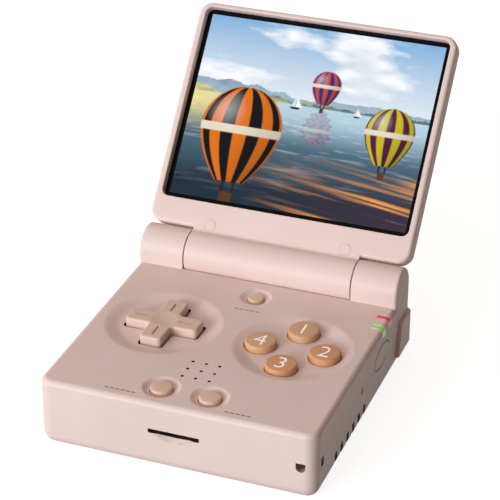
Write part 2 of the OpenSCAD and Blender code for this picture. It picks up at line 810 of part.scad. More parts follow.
module power_button() color(shell_pink)
    translate([0, power_y, side_z]) {
        oval_x(power_l, power_h, side_x - wall - 0.6, side_x + 0.1);
        oval_x(power_l + 2, power_h + 2, side_x - wall - 1.2, side_x - wall - running);
    }

module volume_rocker() color(small_tan)
    difference() {
        union() {
            translate([0, rocker_y, side_z]) stadium_x(rocker_l, rocker_h, -side_x - 0.8, -side_x + wall - 0.1);
            translate([rocker_pin_x, rocker_y, side_z - 2.4]) cylinder(r = 1.2, h = 4.8);
            for (s = [-1, 1])
                translate([-side_x + wall, rocker_y + s * rocker_l * 0.36, board_top + 0.6])
                cube([1.4, 2, 1.2], center = true);
        }
        translate([rocker_pin_x, rocker_y, 0]) cylinder(r = rocker_pin_r + running, h = base_h, $fn = 32);
    }

// Shoulder button on the right: an angle round the corner that turns on an upright pin
module shoulder_button() {
    r = rear_edge_r + shoulder_proud;
    x1 = side_x + shoulder_proud;
    y1 = base_d / 2 + shoulder_proud;
    x0 = x1 - shoulder_l;
    y0 = y1 - shoulder_side_l;
    intersection() {
        slanted_x(y0, y1 + past, shoulder_z, shoulder_z + shoulder_h, x0 - past, x1 + past);
        translate([0, 0, shoulder_z]) linear_extrude(shoulder_h) difference() {
            union() {
                translate([x0, y0]) square([shoulder_l - r, shoulder_side_l]);
                translate([x0, y0]) square([shoulder_l, shoulder_side_l - r]);
                translate([x1 - r, y1 - r]) circle(r);
            }
            translate([x0 - past, y0 - past])
                square([shoulder_l - shoulder_wall + past, shoulder_side_l - shoulder_wall + past]);
        }
    }
    difference() {
        union() {
            translate([shoulder_pin.x, shoulder_pin.y, shoulder_z + 0.9]) cylinder(r = lug_r, h = shoulder_h - 2.9);
            block([shoulder_pin.x, shoulder_pin.y - 1.1, shoulder_z + 0.9],
                [side_x, shoulder_pin.y + 1.1, shoulder_z + shoulder_h - 2]);
        }
        translate([shoulder_pin.x, shoulder_pin.y, 0]) cylinder(r = shoulder_pin_r + running, h = base_h, $fn = 32);
    }
}

module shoulder_button_right() color(shell_pink) shoulder_button();

module shoulder_button_left() color(shell_pink) mirror([1, 0, 0]) shoulder_button();

// One half of the lid's body, from the split to a face rounded by f
module lid_half(w0, w1, f) {
    x = lid_w / 2 - lid_corner_r;
    hull()
    for (s = [-1, 1], v = [lid_foot + lid_corner_r, lid_head - lid_corner_r])
        translate([s * x, v, w0]) mirror([0, 0, w1 < w0 ? 1 : 0]) {
            cylinder(r = lid_corner_r, h = abs(w1 - w0) - f, $fn = 32);
            translate([0, 0, abs(w1 - w0)]) round_end(lid_corner_r, f);
        }
}

// Plate in the lid from v0 to v1 and w0 to w1, centred across it
module lid_plate(width, v0, v1, w0, w1, r)
    translate([0, (v0 + v1) / 2, w0]) round_plate([width, v1 - v0, w1 - w0], r);

module lid_bezel() color(shell_pink) on_lid()
    difference() {
        union() {
            lid_half(split_w, bezel_w, lid_front_edge_r);
            block([-barrel_l / 2, 0, split_w], [barrel_l / 2, lid_foot + 2, bezel_w]);
            translate([-barrel_l / 2, 0, 0]) rotate([0, 90, 0]) cylinder(r = hinge_r, h = barrel_l);
        }
        lid_plate(glass_x + 2 * glass_gap, glass_v0 - glass_gap, glass_v1 + glass_gap,
            glass_w - glass_t, bezel_w + past, glass_corner_r);
        lid_plate(glass_x - 2 * ledge, glass_v0 + ledge, glass_v1 - ledge, split_w - past, glass_w, 0.5);
        translate([-barrel_l / 2 - past, 0, 0]) rotate([0, 90, 0])
            cylinder(r = cartridge_r + running, h = cartridge_l + past);
        translate([barrel_l / 2 - bush_l, 0, 0]) rotate([0, 90, 0]) cylinder(r = bush_r + running, h = bush_l + past);
        translate([cable_x - 4, 0, 0]) rotate([0, 90, 0])
            cylinder(r = sleeve_r + running, h = barrel_l / 2 - bush_l - cable_x + 5);
        block([cable_x - cable_w / 2 - 0.4, 0, split_w - past], [cable_x + cable_w / 2 + 0.4, glass_v0 + 2, 0]);
        for (s = [-1, 1]) translate([s * lid_screw_x, lid_screw_v, 0]) {
            translate([0, 0, bezel_w - 1.9]) cylinder(r = lid_screw_cap_r + running, h = 3);
            translate([0, 0, -past - 1]) cylinder(r = screw_r * 0.8 + running, h = 4);
        }
        translate([lid_w / 2 - 9, lid_foot + 3.85, split_w - past]) cylinder(r = 2.1, h = past + 1.5);
    }

module lid_cover() color(shell_pink) on_lid()
    difference() {
        union() {
            difference() {
                lid_half(split_w, back_w, lid_back_edge_r);
                lid_plate(glass_x - 0.6, lid_foot + wall, glass_v1 - 0.2, cover_floor_w, 2, 2);
            }
            block([-barrel_l / 2, hinge_r + 0.12, back_w], [barrel_l / 2, lid_foot + wall, split_w]);
            for (s = [-1, 1])
                translate([s * lid_screw_x, lid_screw_v, back_w]) cylinder(r = 2, h = split_w - back_w);
        }
        block([-side_x, -hinge_r, back_w - past], [side_x, hinge_r + 0.12, bezel_w]);
        for (s = [-1, 1])
            translate([s * lid_screw_x, lid_screw_v, back_w + 0.6]) cylinder(r = screw_r * 0.8 + running, h = 4);
        block([cable_x - cable_w / 2 - 0.4, hinge_r, split_w - 0.5], [cable_x + cable_w / 2 + 0.4, lid_foot + 3, 0]);
    }

module screen_glass() color(black) on_lid()
    lid_plate(glass_x, glass_v0, glass_v1, glass_w - glass_t, glass_w, glass_corner_r);

module lcd_panel() color([0.55, 0.68, 0.80]) on_lid()
    lid_plate(screen_w - 0.9, screen_foot + 0.4, screen_foot + screen_h - 0.3,
        glass_w - glass_t - lcd_t, glass_w - glass_t, 0.4);

module lcd_backplate() color(steel_grey) on_lid()
    lid_plate(screen_w - 0.9, screen_foot + 0.4, screen_foot + screen_h - 0.3,
        glass_w - glass_t - lcd_t - plate_t, glass_w - glass_t - lcd_t, 0.4);

module hinge_cartridge() color(steel_grey)
    difference() {
        along_hinge(cartridge_r, -barrel_l / 2, -barrel_l / 2 + cartridge_l);
        along_hinge(shaft_pin_r + running, -barrel_l / 2 - past, -barrel_l / 2 + 9.2);
    }

module hinge_bush() color(rubber_grey)
    difference() {
        along_hinge(bush_r, barrel_l / 2 - bush_l, barrel_l / 2);
        along_hinge(sleeve_r + running, 0, side_x);
    }

module lid_screws() color(steel_grey) on_lid()
    for (s = [-1, 1])
        translate([s * lid_screw_x, lid_screw_v, bezel_w - 1.9]) {
            cylinder(r = 1.5, h = 1.1, $fn = 32);
            translate([0, 0, -3.3]) cylinder(r = screw_r * 0.8, h = 3.4, $fn = 32);
        }

module screw_covers() color(shell_pink) on_lid()
    for (s = [-1, 1])
        translate([s * lid_screw_x, lid_screw_v, bezel_w - cap_t]) cylinder(r = lid_screw_cap_r, h = cap_t);

module lid_magnet() color(steel_grey) on_lid()
    translate([lid_w / 2 - 9, lid_foot + 3.85, cover_floor_w]) cylinder(r = 2, h = 2.2);

module display_cable() color(gold) {
    on_lid() {
        block([cable_x - cable_w / 2, 0, -0.9], [cable_x + cable_w / 2, glass_v0 + 1, -0.6]);
        block([cable_x - cable_w / 2, glass_v0 + 0.7, -0.9], [cable_x + cable_w / 2, screen_foot + 0.38, -0.6]);
    }
    along_hinge(1.5, cable_x - cable_w / 2, trough_half + 7.8);
    block([trough_half + 6.4, hinge_y - 1.3, board_top + 1], [trough_half + 7.8, hinge_y + 1.3, hinge_h]);
    block([wing_x - 2, hinge_y - 1.3, board_top], [trough_half + 7.8, hinge_y + 1.3, board_top + 1]);
}

top_shell();
bottom_shell();
main_board();
processor_shield();
battery_pack();
speaker();
card_socket();
usb_port();
headphone_jack();
power_switch();
volume_switches();
option_switches();
shoulder_switches();
indicator_leds();
charge_light_pipe();
power_light_pipe();
case_screws();
shoulder_pins();
volume_pin();
hinge_shaft();
hinge_sleeve();
dpad_post();
dpad_ball();
dpad();
dpad_membrane();
button_membrane();
button_top();
button_right();
button_bottom();
button_left();
select_button();
start_button();
menu_button();
power_button();
volume_rocker();
shoulder_button_left();
shoulder_button_right();
lid_bezel();
lid_cover();
screen_glass();
lcd_panel();
lcd_backplate();
hinge_cartridge();
hinge_bush();
lid_screws();
screw_covers();
lid_magnet();
display_cable();
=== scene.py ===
# %% [markdown]
# # A clamshell handheld game console
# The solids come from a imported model, the frame, and every piece here is fitted to them. Most outer
# pieces are modelled again with soft edges, because a moulded case shows its shape by the light along its
# edges. That is done in millimetres and shrunk to metres at the end, which keeps the cuts exact.

# %% Load the frame
import json
import math
import random

import bpy
from mathutils import Matrix, Vector

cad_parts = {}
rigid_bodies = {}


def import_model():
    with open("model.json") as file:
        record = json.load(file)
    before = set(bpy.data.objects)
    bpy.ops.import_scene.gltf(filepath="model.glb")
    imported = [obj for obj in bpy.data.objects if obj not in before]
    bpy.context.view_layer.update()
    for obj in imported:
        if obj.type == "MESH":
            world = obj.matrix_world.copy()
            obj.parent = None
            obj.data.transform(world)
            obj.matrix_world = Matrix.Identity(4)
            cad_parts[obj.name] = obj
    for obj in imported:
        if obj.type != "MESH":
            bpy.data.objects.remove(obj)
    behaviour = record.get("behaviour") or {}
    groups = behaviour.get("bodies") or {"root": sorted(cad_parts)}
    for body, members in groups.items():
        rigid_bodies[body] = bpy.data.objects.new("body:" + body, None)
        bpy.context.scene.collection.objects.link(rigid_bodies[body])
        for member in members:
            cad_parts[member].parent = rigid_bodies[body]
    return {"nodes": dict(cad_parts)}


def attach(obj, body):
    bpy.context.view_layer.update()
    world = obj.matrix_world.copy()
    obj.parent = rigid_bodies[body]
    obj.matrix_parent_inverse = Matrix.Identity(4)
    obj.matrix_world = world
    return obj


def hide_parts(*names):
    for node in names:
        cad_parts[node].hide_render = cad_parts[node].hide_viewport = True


bpy.ops.object.select_all(action="SELECT")
bpy.ops.object.delete()
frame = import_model()
bpy.ops.object.select_all(action="DESELECT")
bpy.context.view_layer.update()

# %% [markdown]
# ## Sizes
# These are the console's own sizes in millimetres, with the origin under the middle of the base, X to the
# right, Y to the hinge and Z up. The lid has its own directions: X across, V up the lid from the hinge
# axis and W out of the screen, and one matrix puts a lid piece in its open place.

# %% Sizes in millimetres
MM = 0.001
TINY = 0.000002
# The case of the base and the hinge
HALF_W, FRONT, REAR = 38.5, -39.8, 39.8
BASE_H, SEAM, WALL = 19.8, 11.3, 1.6
HINGE_Y, HINGE_H, HINGE_R = 33.6, 22.7, 6.2
TROUGH_HALF, BARREL_HALF, TROUGH_R = 25.15, 24.85, 6.55
# The top face: middles of the two clusters, the small buttons, the speaker holes and the lights
CLUSTER_X, CLUSTER_Y, STEP = 18.5, -1.6, 9.1
DISH_FLOOR, DISH_UNDER = BASE_H - 1.2, BASE_H - 2.8
PAD_FOOT, PAD_TOP = 14.9, 21.1
SMALL_X, SMALL_Y, MENU_Y = 6.75, -31.7, 20.05
SPEAKER_Y, SPEAKER_PITCH = -21.05, 3.8
CHARGE_LIGHT_Y, POWER_LIGHT_Y = 22.0, 16.6
# The sides: middles of the buttons, the pin hole, the card slot, the lanyard hole and the vents
POWER_Y, ROCKER_Y, SIDE_Z = 14.9, 11.9, 12.1
PIN_HOLE_Y, PIN_HOLE_Z = -2.4, 11.0
SLOT_X, SLOT_TOP = -0.3, 11.95
LANYARD_X, LANYARD_Z = 34.3, 9.7
VENT_MIDDLE, VENT_PITCH, VENT_HALF, VENT_LOW, VENT_HIGH = -11.9, 4.76, 1.05, 0.5, 5.4
SHOULDER_X, SHOULDER_Y = 35.1, 31.8
# The lid, in its own directions, and how far it stands open in degrees
BEZEL_W, BACK_W, LID_FOOT, LID_HEAD, LID_HALF = 2.64, -3.56, 6.60, 73.4, 39.0
GLASS_W, SPLIT_W = 0.24, -1.36
LID_SCREW_X, LID_SCREW_V = 20.3, 7.83
LID_OPEN = 130.3
# The camera that was fitted to the picture: its place, two angles and focal length
CAMERA_AT, CAMERA_DOWN, CAMERA_TURN, CAMERA_LENS = (171.55, -440.26, 306.91), 28.982, 20.635, 147.1
to_metres = Matrix.Scale(MM, 4)
lid_place = Matrix.Translation((0, HINGE_Y, HINGE_H)) @ Matrix.Rotation(math.radians(180 - LID_OPEN), 4, "X")
print("lid leans back", round(LID_OPEN - 90, 1), "degrees from upright")

# %% [markdown]
# ## Camera and light
# The camera stands where the picture was taken from: right of the middle, about 29 degrees above the
# table and half a metre away. The picture is bright in front and darker on the right side, so large soft
# lamps stand in front on the left, and the world fills in the rest, less on the right.

# %% Camera
camera_data = bpy.data.cameras.new("photo_camera")
camera_data.sensor_width = 36.0
camera_data.lens = CAMERA_LENS
camera_data.clip_start = 0.01
camera = bpy.data.objects.new("photo_camera", camera_data)
camera.location = Vector(CAMERA_AT) * MM
camera.rotation_euler = (math.radians(90 - CAMERA_DOWN), 0, math.radians(CAMERA_TURN))
bpy.context.collection.objects.link(camera)
bpy.context.scene.camera = camera
print("camera at", [round(v, 3) for v in camera.location])

# %% [markdown]
# ## One helper for every material
# A material is a small tree of nodes. One function adds a node with its settings, its values and its
# links, so each finish below reads as a list of what it is made from. Colours are the hex numbers that a
# paint program shows, and one function turns them into the linear values that light uses.

# %% Colours and nodes
def colour(text):
    """sRGB hex, such as #E8D0C4, as a linear colour."""
    parts = [int(text[i : i + 2], 16) / 255 for i in (1, 3, 5)]
    return [c / 12.92 if c <= 0.04045 else ((c + 0.055) / 1.055) ** 2.4 for c in parts] + [1.0]


def add_node(tree, kind, settings=None, values=None, links=None):
    """Add one shader node with its properties, socket values and (node, output) sources."""
    node = tree.nodes.new("ShaderNode" + kind)
    for key, value in (settings or {}).items():
        setattr(node, key, value)
    for socket, value in (values or {}).items():
        node.inputs[socket].default_value = value
    for socket, (source, output) in (links or {}).items():
        tree.links.new(source.outputs[output], node.inputs[socket])
    return node


def new_material(name):
    """An empty material with its output: returns the material, its tree and the output node."""
    made = bpy.data.materials.new(name)
    made.use_nodes = True
    made.node_tree.nodes.clear()
    return made, made.node_tree, add_node(made.node_tree, "OutputMaterial")


def object_space(tree):
    """The piece's own coordinates, so that a pattern stays with the piece when it moves."""
    return add_node(tree, "TexCoord"), "Object"


def noise(tree, place, size_mm, detail, **more):
    """Noise with blots of about size_mm, laid on by the coordinates that come from place."""
    values = {"Scale": 1000 / size_mm, "Detail": detail, **more}
    return add_node(tree, "TexNoise", values=values, links={"Vector": place})


def spread(tree, source, low, high, source_low=0.0, source_high=1.0):
    """Stretch a value so that it runs from low to high."""
    values = {"From Min": source_low, "From Max": source_high, "To Min": low, "To Max": high}
    return add_node(tree, "MapRange", values=values, links={"Value": source})


def two_tones(tree, source, low_hex, high_hex, start=0.0, end=1.0):
    """Blend from one colour to another while the source goes from start to end."""
    ramp = add_node(tree, "ValToRGB", links={"Fac": source})
    for stop, position, text in zip(ramp.color_ramp.elements, (start, end), (low_hex, high_hex)):
        stop.position, stop.color = position, colour(text)
    return ramp


def rays(tree, one, other):
    """1 for rays of either of two kinds, such as Is Camera Ray, and 0 for the others."""
    ray = add_node(tree, "LightPath")
    return add_node(tree, "Math", {"operation": "MAXIMUM"}, links={0: (ray, one), 1: (ray, other)})


def shade(tree, out, values=None, links=None):
    """Join the general surface shader to the output."""
    shader = add_node(tree, "BsdfPrincipled", values=values, links=links)
    tree.links.new(shader.outputs[0], out.inputs["Surface"])
    return shader

# %% [markdown]
# ## The world and the floor
# The picture has a plain white ground. So the camera sees a white world, while the light that falls on
# the console is a soft grey, and the floor takes only a faint shadow.

# %% World
world = bpy.context.scene.world or bpy.data.worlds.new("studio")
bpy.context.scene.world = world
world.use_nodes = True
sky = world.node_tree
sky.nodes.clear()
direction = add_node(sky, "TexCoord")
split = add_node(sky, "SeparateXYZ", links={0: (direction, "Generated")})
level = spread(sky, (split, "X"), 0.66, 0.07, -0.1, 0.75)
level.interpolation_type = "SMOOTHSTEP"
fill_light = add_node(sky, "Background", None, {"Color": colour("#F6E5DE")}, {"Strength": (level, 0)})
white_ground = add_node(sky, "Background", values={"Color": (1, 1, 1, 1), "Strength": 1.0})
seen = rays(sky, "Is Camera Ray", "Is Transmission Ray")
mixed = add_node(sky, "MixShader", links={0: (seen, 0), 1: (fill_light, 0), 2: (white_ground, 0)})
add_node(sky, "OutputWorld", links={"Surface": (mixed, 0)})
print("world nodes:", len(sky.nodes))

# %% Lamps
def soft_lamp(name, place, size, power, tint):
    """A square area lamp in metres that looks at the middle of the console."""
    data = bpy.data.lights.new(name, "AREA")
    data.size, data.energy, data.color = size, power, colour(tint)[:3]
    lamp = bpy.data.objects.new(name, data)
    lamp.location = place
    lamp.rotation_euler = (Vector((0, 0, 0.03)) - lamp.location).to_track_quat("-Z", "Y").to_euler()
    bpy.context.collection.objects.link(lamp)
    return lamp


soft_lamp("front_left_softbox", (-0.45, -1.10, 0.42), 0.7, 9.6, "#F1F6F9")
soft_lamp("low_front_card", (-0.60, -1.12, 0.22), 0.4, 5.9, "#D8ECFF")
soft_lamp("rear_left_fill", (-0.8, 0.5, 0.9), 0.8, 1.6, "#FFFFFF")

# %% Floor
bpy.ops.mesh.primitive_plane_add(size=6.0, location=(0, 1.0, -0.0001))
floor = bpy.context.object
floor.name = "studio_floor"
paper, tree, out = new_material("white_paper_sweep")
diffuse = add_node(tree, "BsdfDiffuse", values={"Color": colour("#9A948E")})
glow = add_node(tree, "Emission", values={"Color": (1, 1, 1, 1), "Strength": 0.88})
both = add_node(tree, "AddShader", links={0: (diffuse, 0), 1: (glow, 0)})
seen = rays(tree, "Is Camera Ray", "Is Glossy Ray")
mixed = add_node(tree, "MixShader", links={0: (seen, 0), 1: (diffuse, 0), 2: (both, 0)})
tree.links.new(mixed.outputs[0], out.inputs["Surface"])
floor.data.materials.append(paper)
bpy.context.scene.view_settings.view_transform = "Standard"

# %% [markdown]
# ## Moulded plastic
# Most of the console is ABS plastic with a fine spark-eroded grain. That grain is about 0.1 mm, too fine
# to show, so it is drawn at 0.5 mm and very shallow, which breaks up the gloss. A slow change of tone over
# some 25 mm keeps a large flat face from looking like paper. Each plastic names its own two colours.

# %% Moulded plastic
def moulded_plastic(name, low_hex, high_hex, roughness=0.48, specular=0.38, glow=0.0):
    made, tree, out = new_material(name)
    where = object_space(tree)
    slow = noise(tree, where, 25, 2.0)
    fine = noise(tree, where, 0.5, 2.0, Roughness=0.6)
    tone = two_tones(tree, (slow, "Fac"), low_hex, high_hex, 0.35, 0.65)
    rough = spread(tree, (fine, "Fac"), roughness - 0.05, roughness + 0.05, 0.3, 0.7)
    grain = {"Strength": 0.5, "Distance": 0.010 * MM}
    bump = add_node(tree, "Bump", values=grain, links={"Height": (fine, "Fac")})
    values = {"IOR": 1.49, "Specular IOR Level": specular}
    # A glow here is painted light: it brightens a plastic that is no lamp.
    if glow:
        values.update({"Emission Color": (1, 0.95, 0.88, 1), "Emission Strength": glow})
    shade(tree, out, values, {"Base Color": (tone, "Color"), "Roughness": (rough, 0), "Normal": (bump, 0)})
    return made


shell_abs = moulded_plastic("pale_pink_satin_abs", "#E2C9C0", "#E6CEC5")
pad_abs = moulded_plastic("tan_satin_abs", "#DABDAA", "#DFC3B0", roughness=0.42)
button_abs = moulded_plastic("caramel_satin_abs", "#D5A47B", "#DAAA82", roughness=0.38)
deep_abs = moulded_plastic("deep_caramel_satin_abs", "#D4986B", "#D99E71", roughness=0.38)
small_abs = moulded_plastic("rose_tan_satin_abs", "#DDB9A8", "#E1BFAE", roughness=0.42)
sand_abs = moulded_plastic("sand_tan_satin_abs", "#DDB89F", "#E1BEA6", roughness=0.42)
# The white ink of the numbers is print with a little painted glow that brightens it.
white_ink_with_painted_glow = moulded_plastic("white_pad_print_ink_with_painted_glow", "#FFF8F0", "#FFFBF5", roughness=0.4, glow=0.16)
# Painted shade: the lanyard hole's wall is a darker pink than the shell, for the shade inside the hole.
lanyard_hole_painted_shade = moulded_plastic("painted_shade_in_the_lanyard_hole", "#AD8678", "#B89184", roughness=0.6)
# Painted shade: the lanyard passage is darker still, for the deep shade seen through the hole.
lanyard_passage_painted_shade = moulded_plastic("painted_shade_in_the_lanyard_passage", "#5A3E36", "#66483F", roughness=0.7)
# Painted shade: the scoop is a slightly darker pink, so that the shade of its crescent shows.
scoop_painted_shade = moulded_plastic("shell_plastic_with_painted_scoop_shade", "#C9B0A6", "#D2BAB1", roughness=0.35)
# Painted shade: the walls of small openings are dark brown, for the shade inside them.
recess_painted_shade = moulded_plastic("shaded_wall_of_small_openings", "#3A2A25", "#44322C", 0.7, specular=0.1)
# Painted shade: the vent walls are darker than the shell, for the shade inside the vents.
vent_painted_shade = moulded_plastic("shaded_wall_of_the_vents", "#937C7F", "#998286", 0.8, specular=0.1)
label_ink = moulded_plastic("brown_label_fill", "#8A6B60", "#94746A", roughness=0.6)
black_abs = moulded_plastic("black_moulded_nylon", "#141416", "#1C1C1F", roughness=0.5)
grey_pom = moulded_plastic("natural_pom_plastic", "#C9C7C0", "#D4D2CB", roughness=0.4)
rubber_sheet = moulded_plastic("grey_silicone_rubber", "#84868A", "#8E9094", roughness=0.7)
print("plastics:", len([m for m in bpy.data.materials if "abs" in m.name]))

# %% [markdown]
# ## Metal, board, film and lamps
# The hinge parts and screws are turned steel with a fine lathe grain. The board has a green solder mask,
# through which copper tracks show as lighter lines on a 1.2 mm grid. The flex cable is amber film with
# tracks along it. The light pipes are coloured resin that glows a little, paler at both edges.

# %% Metal
def turned_steel(name, hex_value, roughness=0.32):
    made, tree, out = new_material(name)
    where = object_space(tree)
    stretch = add_node(tree, "Mapping", None, {"Scale": (0.1, 1.0, 1.0)}, {"Vector": where})
    lines = noise(tree, (stretch, 0), 0.3, 3.0)
    rough = spread(tree, (lines, "Fac"), roughness - 0.1, roughness + 0.1)
    groove = {"Strength": 0.3, "Distance": 0.004 * MM}
    bump = add_node(tree, "Bump", values=groove, links={"Height": (lines, "Fac")})
    values = {"Base Color": colour(hex_value), "Metallic": 1.0}
    shade(tree, out, values, {"Roughness": (rough, 0), "Normal": (bump, 0)})
    return made


bright_steel = turned_steel("turned_stainless_steel", "#C9CACC")
zinc_steel = turned_steel("zinc_plated_screw_steel", "#B4B6BA", roughness=0.4)

# %% Board and film
def tracked_sheet(name, ground_hex, track_hex, pitch_mm, roughness):
    made, tree, out = new_material(name)
    where = object_space(tree)
    ground = colour(ground_hex)
    layout = {"Scale": 1000 / pitch_mm, "Mortar Size": 0.09, "Brick Width": 3.5, "Row Height": 1.0}
    tones = {"Color1": ground, "Color2": ground, "Mortar": colour(track_hex)}
    tracks = add_node(
        tree, "TexBrick", {"offset": 0.37, "squash": 1.0}, {**layout, **tones}, {"Vector": where}
    )
    mottle = noise(tree, where, 8, 2.0)
    rough = spread(tree, (mottle, "Fac"), roughness - 0.08, roughness + 0.08)
    shade(tree, out, links={"Base Color": (tracks, "Color"), "Roughness": (rough, 0)})
    return made


solder_mask = tracked_sheet("green_solder_mask_board", "#1B6B43", "#2F8A58", 1.2, 0.35)
flex_film = tracked_sheet("amber_polyimide_flex", "#C6852B", "#8A5515", 0.8, 0.3)
battery_foil = tracked_sheet("grey_aluminium_pouch_foil", "#9A9CA0", "#8E9094", 6.0, 0.3)

# %% Light pipes and lamps
def light_resin(name, core_hex, edge_hex, centre_y, glow):
    """Coloured resin, paler towards both long edges of a pipe 2.3 mm wide that runs across X at centre_y."""
    made, tree, out = new_material(name)
    where = object_space(tree)
    split = add_node(tree, "SeparateXYZ", links={0: where})
    shifted = add_node(tree, "Math", {"operation": "SUBTRACT"}, {1: centre_y * MM}, {0: (split, "Y")})
    away = add_node(tree, "Math", {"operation": "ABSOLUTE"}, links={0: (shifted, 0)})
    reach = spread(tree, (away, 0), 0.0, 1.0, 0.58 * MM, 0.92 * MM)
    tone = two_tones(tree, (reach, 0), core_hex, edge_hex)
    both = {"Base Color": (tone, "Color"), "Emission Color": (tone, "Color")}
    shade(tree, out, {"Roughness": 0.3, "Emission Strength": glow}, both)
    return made


charge_resin = light_resin("red_light_pipe_resin", "#C93B4B", "#E9A7A6", CHARGE_LIGHT_Y, 0.25)
power_resin = light_resin("green_light_pipe_resin", "#86D155", "#C9E2B4", POWER_LIGHT_Y, 0.25)
lamp_resin = light_resin("white_lamp_resin", "#F4F3EC", "#FFFFFF", 19.0, 0.1)

# %% [markdown]
# ## Modelling helpers
# Each step is an operation that Blender also offers by hand: add a primitive, bevel the edges that lie in
# one place, and cut with a second piece through an applied boolean. The helpers choose edges by where they
# are, since a script can't click on them.

# %% Adding simple shapes
def only(obj):
    """Make obj the one selected and active object, in object mode."""
    if bpy.context.object and bpy.context.object.mode != "OBJECT":
        bpy.ops.object.mode_set(mode="OBJECT")
    bpy.ops.object.select_all(action="DESELECT")
    obj.select_set(True)
    bpy.context.view_layer.objects.active = obj
    return obj


def added(name):
    """Name the object that was just added, and work its place, turn and scale into its mesh."""
    made = bpy.context.object
    made.name = name
    bpy.ops.object.transform_apply(location=True, rotation=True, scale=True)
    return made


def block(name, low, high):
    """Box from its lowest to its highest corner, in millimetres."""
    bpy.ops.mesh.primitive_cube_add(size=1, location=[(a + b) / 2 for a, b in zip(low, high)])
    bpy.context.object.scale = [b - a for a, b in zip(low, high)]
    return added(name)


def rod(name, start, end, radius, sides=64):
    """Cylinder from one point to another along X, Y or Z."""
    start, end = Vector(start), Vector(end)
    length, middle = (end - start).length, (start + end) / 2
    bpy.ops.mesh.primitive_cylinder_add(vertices=sides, radius=radius, depth=length, location=middle)
    turn = (end - start).to_track_quat("Z", "X" if abs((end - start).y) > 0 else "Y")
    bpy.context.object.rotation_euler = turn.to_euler()
    return added(name)


def ball(name, centre, radius, segments, rings):
    bpy.ops.mesh.primitive_uv_sphere_add(segments=segments, ring_count=rings, radius=radius, location=centre)
    return added(name)


def clean_mesh(obj, merge=0.0):
    """Merge points that are closer than merge, and turn every face outwards."""
    only(obj)
    bpy.ops.object.mode_set(mode="EDIT")
    bpy.ops.mesh.select_all(action="SELECT")
    if merge:
        bpy.ops.mesh.remove_doubles(threshold=merge)
        bpy.ops.mesh.dissolve_degenerate(threshold=TINY)
    bpy.ops.mesh.normals_make_consistent(inside=False)
    bpy.ops.object.mode_set(mode="OBJECT")
    return obj


def mirror_across(obj):
    """Mirror a piece to the other side of the console."""
    only(obj)
    across = (True, False, False)
    bpy.ops.transform.mirror(orient_type="GLOBAL", constraint_axis=across, center_override=(0, 0, 0))
    return clean_mesh(added(obj.name))

# %% Choosing edges
def near(value, target, slack=0.02):
    return abs(value - target) < slack


def at(**places):
    """A test that passes edges with both ends at the given places, such as z=19.8."""
    return lambda c: all(near(getattr(p, axis), value) for axis, value in places.items() for p in c)


def along_x(c):
    return near(c[0].y, c[1].y) and near(c[0].z, c[1].z)


def upright(c):
    return near(c[0].x, c[1].x) and near(c[0].y, c[1].y)


def choose(obj, test):
    """Select the edges that pass test and don't lie in a flat face, and open edit mode."""
    only(obj)
    mesh = obj.data
    for part in (mesh.vertices, mesh.edges, mesh.polygons):
        part.foreach_set("select", [False] * len(part))
    beside = {}
    for face in mesh.polygons:
        for key in face.edge_keys:
            beside.setdefault(key, []).append(face.normal)
    count = 0
    for edge in mesh.edges:
        normals = beside.get(edge.key, [])
        bent = len(normals) == 2 and normals[0].dot(normals[1]) < 0.995
        if bent and test([mesh.vertices[i].co for i in edge.vertices]):
            edge.select, count = True, count + 1
    bpy.context.tool_settings.mesh_select_mode = (False, True, False)
    bpy.ops.object.mode_set(mode="EDIT")
    return count

# %% Bevels, cuts and lathe shapes
def soften(obj, test, width, steps=4):
    """Bevel the chosen edges by width."""
    if choose(obj, test):
        bpy.ops.mesh.bevel(offset=width, segments=steps, profile=0.5, affect="EDGES", clamp_overlap=False)
    bpy.ops.object.mode_set(mode="OBJECT")
    return obj


def combine(obj, tool, how="DIFFERENCE"):
    """Cut obj with tool, or join it on, with an applied boolean. The tool is used up."""
    only(obj)
    step = obj.modifiers.new("combine", "BOOLEAN")
    step.operation, step.solver, step.object = how, "EXACT", tool
    bpy.ops.object.modifier_apply(modifier=step.name)
    only(tool)
    bpy.ops.object.delete()
    return obj


def carve(obj, *tools):
    for tool in tools:
        combine(obj, tool)
    return obj


def weld(obj, *tools):
    for tool in tools:
        combine(obj, tool, "UNION")
    return obj


def turned(name, centre, profile, sides=96):
    """Solid of revolution about Z, from its lowest (radius, z) to its highest."""
    x, y = centre
    radius, z = profile[0]
    bpy.ops.mesh.primitive_circle_add(vertices=sides, radius=radius, fill_type="NGON", location=(x, y, z))
    made = added(name)
    bpy.ops.object.mode_set(mode="EDIT")
    bpy.ops.mesh.select_all(action="SELECT")
    for (r0, z0), (r1, z1) in zip(profile, profile[1:]):
        bpy.ops.mesh.extrude_region_move(TRANSFORM_OT_translate={"value": (0, 0, z1 - z0)})
        bpy.ops.transform.resize(value=(r1 / r0, r1 / r0, 1), center_override=(x, y, z1))
    return clean_mesh(made)


def joined(pieces):
    """Make one object of several."""
    only(pieces[0])
    for piece in pieces:
        piece.select_set(True)
    bpy.ops.object.join()
    return pieces[0]


def four_places(x, y, reach):
    """The points above, right of, below and left of a centre."""
    angles = [math.pi / 2 * i for i in range(4)]
    return [(x + reach * math.sin(a), y + reach * math.cos(a)) for a in angles]


def round_corner(radius, edge, z, steps=5):
    """Profile points of a rounded upper rim: edge is its radius of rounding, z the height of the top."""
    turns = [i / steps * math.pi / 2 for i in range(steps + 1)]
    return [(radius - edge * (1 - math.cos(a)), z - edge * (1 - math.sin(a))) for a in turns]


